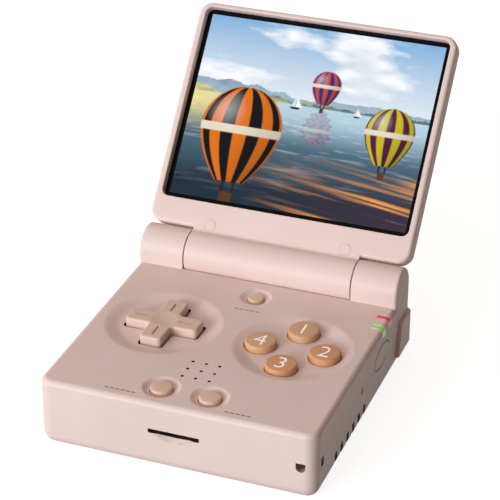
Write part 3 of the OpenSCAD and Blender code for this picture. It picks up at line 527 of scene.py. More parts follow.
# %% Finishing a piece
def finish_piece(obj, name, material, body, node=None, angle=32):
    """Put a piece in its place in metres, shade it, give it its finish and hang it on its body."""
    only(obj)
    obj.matrix_world = to_metres @ (lid_place if body == "lid" else Matrix.Identity(4)) @ obj.matrix_world
    clean_mesh(added(name), merge=TINY)
    bpy.ops.object.shade_smooth_by_angle(angle=math.radians(angle))
    weigh = obj.modifiers.new("weigh", "WEIGHTED_NORMAL")
    weigh.keep_sharp, weigh.weight = True, 80
    bpy.ops.object.modifier_apply(modifier=weigh.name)
    obj.data.materials.clear()
    obj.data.materials.append(material)
    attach(obj, body)
    if node:
        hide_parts(node)
    print(name, "faces:", len(obj.data.polygons))
    return obj


def paint_shade_on(obj, material, *tests):
    """Give the faces whose centre, in millimetres, and normal pass one of the tests another material, which
    paints shade on them.
    """
    obj.data.materials.append(material)
    for face in obj.data.polygons:
        centre = face.center / MM
        if any(test(centre, face.normal) for test in tests):
            face.material_index = len(obj.data.materials) - 1


def in_card_slot(c, n):
    return abs(c.x - SLOT_X) < 7.12 and -39.75 < c.y < -38 and 10.36 < c.z < SLOT_TOP + 0.005


def in_side_hole(c, n):
    """True on the walls of the pin hole and of the hole for the power button."""
    pin = (c.y - PIN_HOLE_Y) ** 2 + (c.z - PIN_HOLE_Z) ** 2 < 0.5
    power = ((c.y - POWER_Y) / 6.75) ** 2 + ((c.z - SIDE_Z) / 3.45) ** 2 < 1
    return c.x > 35.9 and abs(n.x) < 0.1 and (pin or power)

# %% [markdown]
# ## The case of the base
# Top and bottom shell come from one rounded box, as the real case is one form that is split at a seam.
# The box is bevelled in three rounds, first the front uprights, then the long edges above and below, then
# the rear outline, so that each bevel runs into the next without a pinch. The hollow is cut out before
# the split, which gives both shells the same wall.

# %% Rounded case
def case_body(name, corner_block=False):
    body = block(name, (-HALF_W, FRONT, 0), (HALF_W, REAR, BASE_H))
    at_rear = at(y=REAR)
    soften(body, lambda c: at(y=FRONT)(c) and near(c[0].x, c[1].x), 3.45, 10)
    soften(body, lambda c: at(z=0)(c) and not at_rear(c), 3.4, 8)
    soften(body, lambda c: at(z=BASE_H)(c) and not at_rear(c), 1.5, 8)
    soften(body, at_rear, 1.0, 4)
    low, high = (-HALF_W + WALL, FRONT + WALL, WALL), (HALF_W - WALL, REAR - WALL, BASE_H - WALL)
    hollow = block("hollow", low, high)
    soften(hollow, upright, 2.0, 4)
    if corner_block:
        combine(hollow, block("solid_corner", (HALF_W - 6.8, FRONT, 0), (HALF_W, FRONT + 7, BASE_H)))
    return combine(body, hollow)


def seam_half(body, low, high):
    """Keep the half between two heights and break its outer seam edge by a twentieth."""
    combine(body, block("half", (-60, -60, low), (60, 60, high)), "INTERSECT")

    def on_outer_seam(p):
        at_front_corner = p.y < -38 and abs(p.x) > 34
        in_rim = abs(p.x) > HALF_W - 1.2 or abs(p.y) > REAR - 1.2 or at_front_corner
        outside = abs(p.x) > HALF_W - WALL + 0.05 or abs(p.y) > REAR - WALL + 0.05
        return near(p.z, SEAM, 0.001) and in_rim and outside

    return soften(body, lambda c: all(on_outer_seam(p) for p in c), 0.05, 1)


top_shell = seam_half(case_body("top_shell"), SEAM, 40)
bottom_shell = seam_half(case_body("bottom_shell", corner_block=True), -5, SEAM)
print("shell halves:", len(top_shell.data.polygons), len(bottom_shell.data.polygons))

# %% [markdown]
# ## Openings that both shells share
# The seam runs through the card slot, the side buttons, the pin hole and the rooms of the shoulder
# buttons. One function makes those cutters, once for each shell, because a boolean uses its cutter up.

# %% Shared openings
def leaning_block(name, low, high, lean=2.4):
    """Box whose front upper edge is pushed back by lean."""
    made = block(name, low, high)
    choose(made, at(y=low[1], z=high[2]))
    bpy.ops.transform.translate(value=(0, lean, 0))
    bpy.ops.object.mode_set(mode="OBJECT")
    return made


def shoulder_room(side):
    wide = leaning_block("room_a", (TROUGH_HALF, 28.5, 3.0), (HALF_W + 2, REAR + 2, 13.5))
    weld(wide, block("room_b", (18.7, 36.9, 3.0), (TROUGH_HALF + 1, REAR + 2, 13.5)))
    return mirror_across(wide) if side < 0 else wide


def oval(name, length, height, y, z, x0, x1, sides=96):
    """Elliptic prism along X."""
    made = rod(name, (x0, 0, 0), (x1, 0, 0), 0.5, sides)
    made.scale = (1, length, height)
    made.location = (0, y, z)
    return added(name)


def long_slot(name, length, height, y, z, x0, x1):
    """Slot along Y with round ends, as a prism along X."""
    made = block(name, (x0, y - length / 2, z - height / 2), (x1, y + length / 2, z + height / 2))
    return soften(made, along_x, height / 2 - 0.005, 10)


def card_slot_cutter():
    """A flat bar whose underside bellies where the scoop takes its lip back, so the slot looks straight."""
    belly = block("belly", (-4.8, -43, 10.37), (4.2, -36.6, 11.9))
    combine(belly, rod("round", (SLOT_X, -44, 39.37), (SLOT_X, -36, 39.37), 29, 256), "INTERSECT")
    return weld(block("card_slot", (-7.4, -43, 10.72), (6.8, -36.6, SLOT_TOP)), belly)


def shared_cutters():
    return [
        shoulder_room(-1),
        shoulder_room(1),
        oval("power_hole", 13.4, 6.8, POWER_Y, SIDE_Z, 35.9, 40),
        long_slot("rocker_hole", 15.6, 4.8, ROCKER_Y, SIDE_Z, -40, -35.9),
        card_slot_cutter(),
        block("charge_hole", (-4.77, 36.6, 8.34), (4.77, 43, 12.2)),
        rod("jack_hole", (-40, -21.8, 9.4), (-35.9, -21.8, 9.4), 3.05),
        rod("pin_hole", (35.9, PIN_HOLE_Y, PIN_HOLE_Z), (38.8, PIN_HOLE_Y, PIN_HOLE_Z), 0.6, 32),
        rod("pin_dimple", (38.1, PIN_HOLE_Y, PIN_HOLE_Z), (39, PIN_HOLE_Y, PIN_HOLE_Z), 1.0, 32),
    ]


carve(bottom_shell, *shared_cutters())
print("bottom shell so far:", len(bottom_shell.data.polygons))

# %% [markdown]
# ## Bottom shell
# The underside has four screw wells, so each gets a boss first and a well after. The six vents low on
# the right go through the wall. The lanyard hole bends through the solid corner. The finger scoop under
# the card slot is a slice off a large ball, the way a thumb-worn hollow looks. At the end, shade is painted
# on: the walls of the openings get darker colours, because little light gets into the real ones, and the
# scoop gets a slightly darker pink so that its crescent shows.

# %% Bottom shell
SCREWS = [(28, -34), (-28, -34), (31.5, 25), (-31.5, 25)]
for x, y in SCREWS:
    weld(bottom_shell, rod("boss", (x, y, 0.8), (x, y, 11.9), 3.3, 48))
for x, y in SCREWS:
    carve(bottom_shell, turned("well", (x, y), [(2.45, -1), (2.45, 0.0), (2.05, 0.35), (2.05, 4.0)], 48))
    carve(bottom_shell, rod("screw_way", (x, y, 3), (x, y, 13), 1.05, 32))
for i in range(6):
    y = (i - 2.5) * VENT_PITCH + VENT_MIDDLE
    vent = block("vent", (36.3, y - VENT_HALF, VENT_LOW), (40.7, y + VENT_HALF, VENT_HIGH))
    carve(bottom_shell, soften(vent, along_x, 0.45, 4))
lanyard = rod("lanyard_bore", (LANYARD_X, -41, LANYARD_Z), (LANYARD_X, -33.9, LANYARD_Z), 1.3, 40)
weld(lanyard, block("lanyard_top", (33.0, -40.9, LANYARD_Z), (35.6, -33.95, 11.0)))
weld(lanyard, block("lanyard_side", (33.1, -35.9, 8.4), (40, -33.92, 11.05)))
carve(bottom_shell, lanyard)
carve(bottom_shell, ball("scoop", (SLOT_X, -62.28, 17.1), 24, 160, 80))
finish_piece(bottom_shell, "bottom_shell_case", shell_abs, "base", "bottom_shell")


def in_vent(c, n):
    across = abs((c.y - VENT_MIDDLE) % VENT_PITCH - VENT_PITCH / 2)
    in_height = VENT_LOW - 0.05 < c.z < VENT_HIGH + 0.05
    return c.x > 36.25 and abs(n.x) < 0.02 and in_height and across < VENT_HALF + 0.02


def in_lanyard_way(c, n):
    return 35.5 < c.x < 38.45 and -35.95 < c.y < -33.8 and 8.35 < c.z < 11.07


def in_lanyard_hole(c, n):
    on_front_face = abs(n.y) > 0.9 and c.y < -38
    return 32.9 < c.x < 35.65 and -39.75 < c.y < -33.8 and 8.35 < c.z < 11.07 and not on_front_face


def in_scoop(c, n):
    return n.y < -0.8 and -39.79 < c.y < -38.8 and abs(c.x - SLOT_X) < 6 and 8.5 < c.z < 10.715


# Painted shade on the walls of the openings, in the lanyard hole and passage, and on the scoop.
paint_shade_on(bottom_shell, recess_painted_shade, in_card_slot, in_side_hole)
paint_shade_on(bottom_shell, vent_painted_shade, in_vent)
paint_shade_on(bottom_shell, lanyard_passage_painted_shade, in_lanyard_way)
paint_shade_on(bottom_shell, lanyard_hole_painted_shade, in_lanyard_hole)
paint_shade_on(bottom_shell, scoop_painted_shade, in_scoop)

# %% [markdown]
# ## Top shell
# The dishes round the pad and the buttons are soft hollows, so their cutter is a lathe shape whose wall
# is flat at the floor, steepest half way and flat again at the face. A cylinder under each dish keeps the
# wall thick. The trough between the two knuckles is cut 0.35 mm wider than the barrel that turns in it.

# %% Dishes
def dish_cutter(x, y, radius, width, depth):
    inner, floor_z = radius - width, BASE_H - depth
    steps = [i / 10 for i in range(11)]
    wall = [(inner + width * t, floor_z + (depth + 0.02) * t * t * (3 - 2 * t)) for t in steps]
    return turned("dish", (x, y), wall + [(radius, BASE_H + 2)], 160)


def button_hole(x, y, radius, floor):
    wide = radius + 0.15
    return turned("hole", (x, y), [(radius, 14), (radius, floor - 0.15), (wide, floor), (wide, 23)], 72)


def cross_prism(name, x, y, half, arm, low, high, outer, inner):
    """Upright prism with the outline of a cross, its outer and inner corners rounded."""
    made = block(name, (x - half, y - arm, low), (x + half, y + arm, high))
    weld(made, block("arms", (x - arm, y - half, low), (x + arm, y + half, high)))

    def corner(c, at_tip):
        if not (near(c[0].x, c[1].x, 0.001) and near(c[0].y, c[1].y, 0.001)):
            return False
        near_side, far_side = sorted((abs(c[0].x - x), abs(c[0].y - y)))
        return near(far_side, half) if at_tip else near(far_side, arm) and near(near_side, arm)

    soften(made, lambda c: corner(c, True), outer, 6)
    return soften(made, lambda c: corner(c, False), inner, 6)


for x, y, radius, under in (
    (-CLUSTER_X, CLUSTER_Y, 16.8, DISH_UNDER), (CLUSTER_X, CLUSTER_Y, 16.8, DISH_UNDER),
    (-SMALL_X, SMALL_Y, 5.4, 17.3), (SMALL_X, SMALL_Y, 5.4, 17.3), (0, MENU_Y, 4.9, 17.3),
):
    weld(top_shell, rod("under_dish", (x, y, under), (x, y, 19.0), radius, 80))

# %% Knuckles and trough
def on_hinge_axis(name, x0, x1, radius, sides):
    return rod(name, (x0, HINGE_Y, HINGE_H), (x1, HINGE_Y, HINGE_H), radius, sides)


for s in (-1, 1):
    low, high = sorted((s * TROUGH_HALF, s * HALF_W))
    knuckle = block("knuckle", (low, HINGE_Y - HINGE_R, 17.9), (high, REAR, HINGE_H + HINGE_R))
    soften(knuckle, lambda c: at(z=HINGE_H + HINGE_R)(c) and near(c[0].y, c[1].y), HINGE_R - 0.005, 28)
    for end, width, steps in ((HALF_W, 0.9, 5), (TROUGH_HALF, 0.15, 2)):
        soften(knuckle, lambda c: at(x=s * end)(c) and max(p.z for p in c) > 18, width, steps)
    shelf_low, shelf_high = sorted((s * (TROUGH_HALF + 0.05), s * (HALF_W - 0.8)))
    weld(knuckle, block("shelf", (shelf_low, 27.5, 16.1), (shelf_high, 38.8, 18.5)))
    weld(top_shell, knuckle)
trough = on_hinge_axis("trough", -TROUGH_HALF, TROUGH_HALF, TROUGH_R + 1.2, 96)
combine(trough, block("trough_part", (-30, 0, SEAM), (30, 39.0, 19.0)), "INTERSECT")
weld(top_shell, trough)
hollow = on_hinge_axis("barrel_room", -TROUGH_HALF, TROUGH_HALF, TROUGH_R, 128)
carve(top_shell, hollow, block("rear_lip", (-TROUGH_HALF, HINGE_Y, 18.469), (TROUGH_HALF, 45, 30)))


def on_trough_lip(p):
    return near(p.z, BASE_H, 0.01) and abs(p.x) < TROUGH_HALF + 0.01 and 26 < p.y < 29


soften(top_shell, lambda c: all(on_trough_lip(p) for p in c), 0.35, 4)

# %% Cuts in the control face
for s in (-1, 1):
    carve(top_shell, dish_cutter(s * 18.65, CLUSTER_Y, 16.9, 5.4, 1.2))
    carve(top_shell, dish_cutter(s * SMALL_X, SMALL_Y, 5.45, 2.1, 0.9))
    carve(top_shell, button_hole(s * SMALL_X, SMALL_Y, 3.15, 18.9))
carve(top_shell, dish_cutter(0, MENU_Y, 4.8, 2.2, 0.9), button_hole(0, MENU_Y, 2.45, 18.9))
for x, y in four_places(CLUSTER_X, CLUSTER_Y, STEP):
    carve(top_shell, button_hole(x, y, 4.5, DISH_FLOOR))
carve(top_shell, cross_prism("cross_hole", -CLUSTER_X, CLUSTER_Y, 10.95, 3.64, 14, 24, 1.0, 1.2))
for i in (-1, 0, 1):
    for j in (-1, 0, 1):
        x, y = SPEAKER_PITCH * i, SPEAKER_Y + SPEAKER_PITCH * j
        carve(top_shell, rod("speaker_hole", (x, y, 16), (x, y, 22), 0.45, 24))
for y in (CHARGE_LIGHT_Y, POWER_LIGHT_Y):
    carve(top_shell, block("pipe_slot", (34.7, y - 1.2, 17.25), (40, y + 1.2, 22)))
carve(top_shell, on_hinge_axis("shaft_hole", -33.0, -24.1, 2.0, 40))
carve(top_shell, on_hinge_axis("sleeve_hole", 24.1, 34.1, 2.55, 40))
carve(top_shell, block("cable_way", (31.15, 32.0, 13.8), (34.15, 35.2, HINGE_H)))
carve(top_shell, *shared_cutters())
print("control face:", len(top_shell.data.polygons))

# %% [markdown]
# ## Dashes where the words would be
# Three short rows of dashes are cut into the face by the small buttons and filled with brown paint, where
# a maker would put words.

# %% Label dashes
def flat_bar(name, x, y, half_x, half_y, under, over):
    return block(name, (x - half_x, y - half_y, BASE_H + under), (x + half_x, y + half_y, BASE_H + over))


dashes = []
for x, y, count in ((0, 12.6, 5), (-16.4, -36.5, 6), (16.2, -36.6, 5)):
    for i in range(count):
        mid = x + (i - (count - 1) / 2) * 1.5
        carve(top_shell, flat_bar("groove", mid, y, 0.56, 0.26, -0.12, 1))
        dashes.append(flat_bar("dash", mid, y, 0.54, 0.24, -0.115, -0.03))
finish_piece(joined(dashes), "label_dashes", label_ink, "base")
finish_piece(top_shell, "top_shell_case", shell_abs, "base", "top_shell")


def in_speaker_hole(c, n):
    half = SPEAKER_PITCH / 2
    x, y = c.x, c.y - SPEAKER_Y
    away = math.hypot((x + half) % SPEAKER_PITCH - half, (y + half) % SPEAKER_PITCH - half)
    return abs(x) < 4.5 and abs(y) < 4.5 and c.z < 19.75 and abs(n.z) < 0.1 and away < 0.5


def in_button_gap(c, n):
    if abs(n.z) > 0.2 or not 16.9 < c.z < 18.85:
        return False
    small = min(math.hypot(abs(c.x) - SMALL_X, c.y - SMALL_Y), math.hypot(c.x, c.y - MENU_Y))
    return small < 3.3 or math.hypot(abs(c.x) - CLUSTER_X, c.y - CLUSTER_Y) < 13.8


# Painted shade on the walls of the card slot, the side holes, the speaker holes and the gaps round the
# buttons.
paint_shade_on(top_shell, recess_painted_shade, in_card_slot, in_side_hole, in_speaker_hole, in_button_gap)

# %% [markdown]
# ## The directional pad
# The pad is a cross of two boxes with rounded corners, and a very large ball takes a shallow hollow out
# of its middle for the thumb. Four short slits mark the directions. Under the face it has a collar that
# keeps it in the case and a socket for the ball that it rocks on.

# %% Directional pad
dpad = cross_prism("dpad", -CLUSTER_X, CLUSTER_Y, 10.5, 3.15, PAD_FOOT, PAD_TOP, 1.2, 1.2)
soften(dpad, at(z=PAD_TOP), 0.6, 5)
weld(dpad, rod("collar", (-CLUSTER_X, CLUSTER_Y, PAD_FOOT), (-CLUSTER_X, CLUSTER_Y, 16.1), 7.0, 64))
carve(dpad, ball("thumb", (-CLUSTER_X, CLUSTER_Y, PAD_TOP + 24 - 0.3), 24, 96, 64))
carve(dpad, ball("socket", (-CLUSTER_X, CLUSTER_Y, PAD_FOOT), 1.55, 32, 16))
for i, (x, y) in enumerate(four_places(-CLUSTER_X, CLUSTER_Y, 6.4)):
    half_x, half_y = (0.3, 2.2) if i % 2 == 0 else (2.2, 0.3)
    slit = block("slit", (x - half_x, y - half_y, 20.65), (x + half_x, y + half_y, 22))
    carve(dpad, soften(slit, upright, 0.28, 4))
finish_piece(dpad, "dpad_cross", pad_abs, "dpad", "dpad")

# %% [markdown]
# ## Round buttons
# Each button is a lathe shape: a collar, a straight side and a rim that rolls over to a top that is all
# but flat. The marks are plain numbers, made as text, turned into a mesh and laid on like thick ink, with
# a little painted glow that brightens them.

# %% Round buttons
def rolled_top(radius, edge, top, middle):
    """Profile points of a button's rolled rim and of its top, which rises a little to its middle."""
    return round_corner(radius, edge, top, 6) + [(radius * middle, top + 0.05), (0.05, top + 0.06)]


def printed(text, name, centre, height, size, body):
    """A number as a thin mesh in white ink with a little painted glow, centred on a point."""
    bpy.ops.object.text_add()
    font = bpy.context.object.data
    font.body, font.size, font.extrude, font.offset, font.resolution_u = text, size, 0.03, -0.10, 6
    bpy.ops.object.convert(target="MESH")
    made = bpy.context.object
    xs, ys = [v.co.x for v in made.data.vertices], [v.co.y for v in made.data.vertices]
    made.location = (centre[0] - (min(xs) + max(xs)) / 2, centre[1] - (min(ys) + max(ys)) / 2, height)
    return finish_piece(added(name), name, white_ink_with_painted_glow, body)


profile = [(5.4, 15.75), (5.4, 16.95), (4.35, 16.951)] + rolled_top(4.35, 0.55, 20.49, 0.45)
for i, place in enumerate(four_places(CLUSTER_X, CLUSTER_Y, STEP)):
    node = "button_" + ("top", "right", "bottom", "left")[i]
    tone = (button_abs, deep_abs, deep_abs, button_abs)[i]
    button = turned(node, place, profile)
    finish_piece(button, f"{node}_cap", tone, node, node, angle=40)
    printed(str(i + 1), f"{node}_mark", place, 20.54, 7.4, node)

# %% Small buttons
for name, tone, place, radius, top in (
    ("select_button", small_abs, (-SMALL_X, SMALL_Y), 3.0, 20.04),
    ("start_button", sand_abs, (SMALL_X, SMALL_Y), 3.0, 20.04),
    ("menu_button", sand_abs, (0, MENU_Y), 2.3, 19.84),
):
    collar = radius + 0.9
    profile = [(1.2, 15.15), (1.2, 16.25), (collar, 16.251), (collar, 17.25), (radius, 17.251)]
    small = turned(name, place, profile + rolled_top(radius, 0.45, top, 0.4), 80)
    finish_piece(small, f"{name}_cap", tone, name, name, angle=40)

# %% [markdown]
# ## Side controls
# The power button is an oval with a collar behind the wall. The rocker is a bar with round ends, a hollow
# for the finger and a lug that its pin goes through. Each shoulder button wraps a rear corner: a box with
# one rounded corner, less a smaller box, plus the lug that turns on its pin.

# %% Power button and rocker
power = oval("power", 13.0, 6.4, POWER_Y, SIDE_Z, 36.3, 38.6)
soften(power, at(x=38.6), 0.3, 4)
weld(power, oval("power_collar", 15.0, 8.4, POWER_Y, SIDE_Z, 35.7, 36.85))
finish_piece(power, "power_button_cap", shell_abs, "power_button", "power_button")

rocker = clean_mesh(long_slot("rocker", 15, 4.2, ROCKER_Y, SIDE_Z, -39.3, -37.0), merge=0.012)
soften(rocker, at(x=-39.3), 0.55, 5)
carve(rocker, rod("dent", (-39.3 - 13.8, ROCKER_Y, 8), (-39.3 - 13.8, ROCKER_Y, 17), 14.05, 128))
weld(rocker, rod("lug", (-36.0, ROCKER_Y, 9.7), (-36.0, ROCKER_Y, 14.5), 1.2, 40))
for s in (-1, 1):
    y = ROCKER_Y + s * 5.4
    weld(rocker, block("push_pad", (-37.6, y - 1.0, 12.9), (-36.2, y + 1.0, 14.1)))
carve(rocker, rod("pin_way", (-36.0, ROCKER_Y, 8), (-36.0, ROCKER_Y, 16), 0.65, 32))
node = "volume_rocker"
finish_piece(rocker, "volume_rocker_cap", small_abs, node, node)

# %% Shoulder buttons
for side in ("right", "left"):
    cap = leaning_block("shoulder", (19.6, 28.9, 3.2), (39.4, 40.7, 13.3))
    soften(cap, lambda c: upright(c) and c[0].x > 39 and c[0].y > 40, 1.9, 8)
    carve(cap, block("inside", (18, 26, 2), (36.9, 38.2, 15)))
    soften(cap, lambda c: at(z=3.2)(c) or at(z=13.3)(c), 0.4, 4)
    weld(cap, rod("lug", (SHOULDER_X, SHOULDER_Y, 4.1), (SHOULDER_X, SHOULDER_Y, 11.3), 1.5, 40))
    weld(cap, block("web", (SHOULDER_X, 30.7, 4.1), (37.4, 32.9, 11.3)))
    carve(cap, rod("pin_way", (SHOULDER_X, SHOULDER_Y, 2), (SHOULDER_X, SHOULDER_Y, 15), 0.85, 32))
    if side == "left":
        mirror_across(cap)
    node = f"shoulder_button_{side}"
    finish_piece(cap, f"shoulder_{side}_cap", shell_abs, node, node)

# %% [markdown]
# ## The lid
# The lid is drawn lying on its own axes and then swung up by one matrix. Its bezel is a plate with round
# corners, joined by a neck to the barrel. The picture shows a soft band of shade where the neck meets the
# barrel, so there is a real concave fillet: a box less a rod.

# %% Bezel with its barrel
def lid_blank(name, w0, w1, face_w, edge, steps):
    made = block(name, (-LID_HALF, LID_FOOT, w0), (LID_HALF, LID_HEAD, w1))
    soften(made, upright, 3.8, 12)
    soften(made, at(z=face_w), edge, steps)
    return soften(made, at(z=SPLIT_W), 0.1, 1)


def rounded_plate(name, half_x, v0, v1, w0, w1, radius):
    made = block(name, (-half_x, v0, w0), (half_x, v1, w1))
    return soften(made, upright, radius, 8)


bezel = lid_blank("bezel", SPLIT_W, BEZEL_W, BEZEL_W, 1.0, 6)
weld(bezel, block("neck", (-BARREL_HALF, 0, SPLIT_W), (BARREL_HALF, LID_FOOT + 2, BEZEL_W)))
barrel = rod("barrel", (-BARREL_HALF, 0, 0), (BARREL_HALF, 0, 0), HINGE_R, 160)
soften(barrel, lambda c: at(x=BARREL_HALF)(c) or at(x=-BARREL_HALF)(c), 0.25, 3)
cove = block("cove", (-BARREL_HALF, 4.0, 1.0), (BARREL_HALF, 6.49, 3.33))
carve(cove, rod("cove_round", (-30, 6.49, 4.14), (30, 6.49, 4.14), 1.5, 96))
weld(bezel, barrel, cove)
carve(
    bezel,
    rounded_plate("pocket", 37.05, 14.3, 72.0, -0.56, 4.0, 2.1),
    rounded_plate("window", 35.85, 15.5, 70.8, -3, 2, 0.5),
    rod("cartridge_bore", (-26, 0, 0), (-11.85, 0, 0), 3.0),
    rod("bush_bore", (19.45, 0, 0), (26, 0, 0), 3.45),
    rod("sleeve_bore", (6.9, 0, 0), (19.9, 0, 0), 2.55),
    block("cable_way", (8.0, 0, -3), (13.8, 16.4, 0)),
    rod("magnet_seat", (30, 10.45, -3), (30, 10.45, 0.14), 2.1, 40),
)
for s in (-1, 1):
    x, y = s * LID_SCREW_X, LID_SCREW_V
    carve(bezel, turned("cap_seat", (x, y), [(1.68, 0.74), (1.68, 2.58), (1.74, BEZEL_W), (1.74, 4)], 56))
    carve(bezel, rod("screw_way", (x, y, -2.5), (x, y, 1.5), 0.85, 24))


def on_pocket_rim(p):
    return near(p.z, BEZEL_W, 0.005) and abs(p.x) < 37.3 and 14.1 < p.y < 72.2


soften(bezel, lambda c: all(on_pocket_rim(p) for p in c), 0.3, 4)
finish_piece(bezel, "lid_bezel_front", shell_abs, "lid", "lid_bezel")

# %% Rear cover of the lid
cover = lid_blank("cover", BACK_W, SPLIT_W, BACK_W, 2.0, 8)
carve(cover, rounded_plate("cover_room", 36.65, 8.2, 71.7, -2.46, 2, 2.0))
weld(cover, block("cover_neck", (-BARREL_HALF, 6.32, BACK_W), (BARREL_HALF, 8.2, SPLIT_W)))
for x in (-LID_SCREW_X, LID_SCREW_X):
    weld(cover, rod("screw_post", (x, LID_SCREW_V, BACK_W + 0.4), (x, LID_SCREW_V, SPLIT_W), 2.0, 40))
carve(cover, block("barrel_side", (-60, -10, -6), (60, 6.32, 4)))
carve(cover, block("cable_notch", (8.0, 5, -1.86), (13.8, 9.85, 0)))
for x in (-LID_SCREW_X, LID_SCREW_X):
    carve(cover, rod("screw_way", (x, LID_SCREW_V, -2.96), (x, LID_SCREW_V, 0), 0.85, 24))
finish_piece(cover, "lid_cover_back", shell_abs, "lid", "lid_cover")

# %% Screw covers
profile = [(1.65, 2.14)] + round_corner(1.65, 0.10, BEZEL_W + 0.05, 3)
caps = joined([turned("cap", (x, LID_SCREW_V), profile, 56) for x in (-LID_SCREW_X, LID_SCREW_X)])
finish_piece(caps, "lid_screw_caps", shell_abs, "lid", "screw_covers")

# %% [markdown]
# ## Display cable
# The cable comes up from the main board through the right knuckle, winds round the hinge axis and goes up
# into the lid. A stiff copy would stick out of the lid when it shuts, so it is two pieces that meet inside
# the barrel: the roll and its leg stay with the base, and the flat tail turns with the lid.

# %% Display cable
roll = on_hinge_axis("roll", 8.4, 32.95, 1.5, 40)
weld(roll, block("leg", (31.55, 32.3, 13.4), (32.95, 34.9, HINGE_H)))
weld(roll, block("foot", (29.0, 32.3, 12.9), (32.95, 34.9, 13.9)))
finish_piece(roll, "display_cable_roll", flex_film, "base", "display_cable")
tail = block("tail", (8.4, 0, -0.9), (13.4, 16.18, -0.6))
finish_piece(tail, "display_cable_tail", flex_film, "lid", "display_cable")

# %% [markdown]
# ## The screen
# The glass is black round the edge. What lights up is one fine grid just over it, and each point of the
# grid gets its colour from a formula: a cloudy sky, two rows of hills, a lake with streaks of evening
# light, and hot-air balloons as banded drop shapes. It stands for any picture on such a screen.

# %% Glass
glass_finish, tree, out = new_material("black_bordered_cover_glass")
where = object_space(tree)
smear = noise(tree, where, 30, 3.0)
rough = spread(tree, (smear, "Fac"), 0.08, 0.2)
dark_gloss = {"Base Color": colour("#060607"), "Specular IOR Level": 0.12}
shade(tree, out, {**dark_gloss, "IOR": 1.5}, {"Roughness": (rough, 0)})
glass = rounded_plate("glass", 36.95, 14.4, 71.9, -0.56, GLASS_W, 2.0)
soften(glass, at(z=GLASS_W), 0.08, 2)
finish_piece(glass, "screen_cover_glass", glass_finish, "lid", "screen_glass")

# %% Picture on the screen
def clamp(value):
    return max(0.0, min(1.0, value))


def mix(a, b, t):
    return [x + (y - x) * clamp(t) for x, y in zip(a, b)]


DICE = random.Random(11)
GRID = [[DICE.random() for _ in range(64)] for _ in range(64)]


def cloudy(x, y, layers=4):
    """Smooth noise from 0 to 1, made of a few layers that each have twice the detail and half the height."""
    total, height, sum_heights = 0.0, 1.0, 0.0
    for _ in range(layers):
        i, j = math.floor(x), math.floor(y)
        fx, fy = x - i, y - j
        fx, fy = fx * fx * (3 - 2 * fx), fy * fy * (3 - 2 * fy)
        row, after = GRID[j % 64], GRID[(j + 1) % 64]
        low = row[i % 64] + (row[(i + 1) % 64] - row[i % 64]) * fx
        high = after[i % 64] + (after[(i + 1) % 64] - after[i % 64]) * fx
        total += height * (low + (high - low) * fy)
        sum_heights += height
        x, y, height = x * 2.03 + 5.1, y * 2.03 + 9.7, height * 0.5
    return total / sum_heights


def tones(*codes):
    return [colour(code) for code in codes]


SKY_LOW, SKY_HIGH, CLOUD, CLOUD_SHADE = tones("#E6EEF4", "#86B4DE", "#FBFCFE", "#B9CCDC")
FAR_HILL, FAR_TOP, NEAR_HILL, SHORE = tones("#A3B8C8", "#7E98AD", "#5F7A80", "#D8D28C")
LAKE_FAR, LAKE_SUN, LAKE_MID, LAKE_DEEP = tones("#B7D3E2", "#EBDD8E", "#5C8196", "#1D2F3D")
GLINT, PLUM, ROPE = tones("#F0A258", "#4A2F3F", "#241C18")
BASKET, BAND, SAIL = tones("#5A3A22", "#F4E9D2", "#FAFAFA")
BALLOONS = [
    (0.235, 0.405, 0.225, *tones("#101218", "#EC7A1C")),
    (0.55, 0.700, 0.080, *tones("#33308C", "#D9552A")),
    (0.85, 0.500, 0.135, *tones("#D6C524", "#5A1C46")),
]
HORIZON = 0.575


def balloon(u, v):
    """Colour and cover of the balloon that lies at a point, or None."""
    for cu, cv, size, one, two in BALLOONS:
        dx, dy = (u - cu) * 1.3 / size, (v - cv) / size
        if abs(dx) > 1.05 or dy > 1.05 or dy < -2.0:
            continue
        width = math.sqrt(max(0.0, 1 - dy * dy)) if dy > 0 else 1 - 0.40 * (-dy) ** 1.7
        if dy > -1.32 and width > 0.02 and abs(dx) < width + 0.02:
            side = max(-1.0, min(1.0, dx / width))
            gore = math.asin(side) * 2.9 + 10.5
            near_edge = min(gore % 1.0, 1 - gore % 1.0) * size * 60
            tone = mix(two, one, 0.5 + (1 if int(gore) % 2 else -1) * min(0.5, near_edge))
            tone = mix(tone, BAND, 1 - (abs(dy + 0.05) - 0.09) * size * 220)
            tone = mix(tone, [0, 0, 0, 1], 0.12 + 0.5 * max(0.0, 0.55 * side - 0.35 * dy))
            tone = mix(tone, [1, 1, 1, 1], 0.35 * max(0.0, 1 - math.hypot(side + 0.45, dy - 0.4) * 1.9))
            return tone, (width - abs(dx)) * size * 200 + 0.5
        if abs(dx) < 0.15 and -1.86 < dy < -1.58:
            return BASKET, 1.0
        if -1.58 <= dy <= -1.30 and abs(abs(dx) - 0.13) < 0.02 + 0.004 / size:
            return ROPE, 0.8
    return None


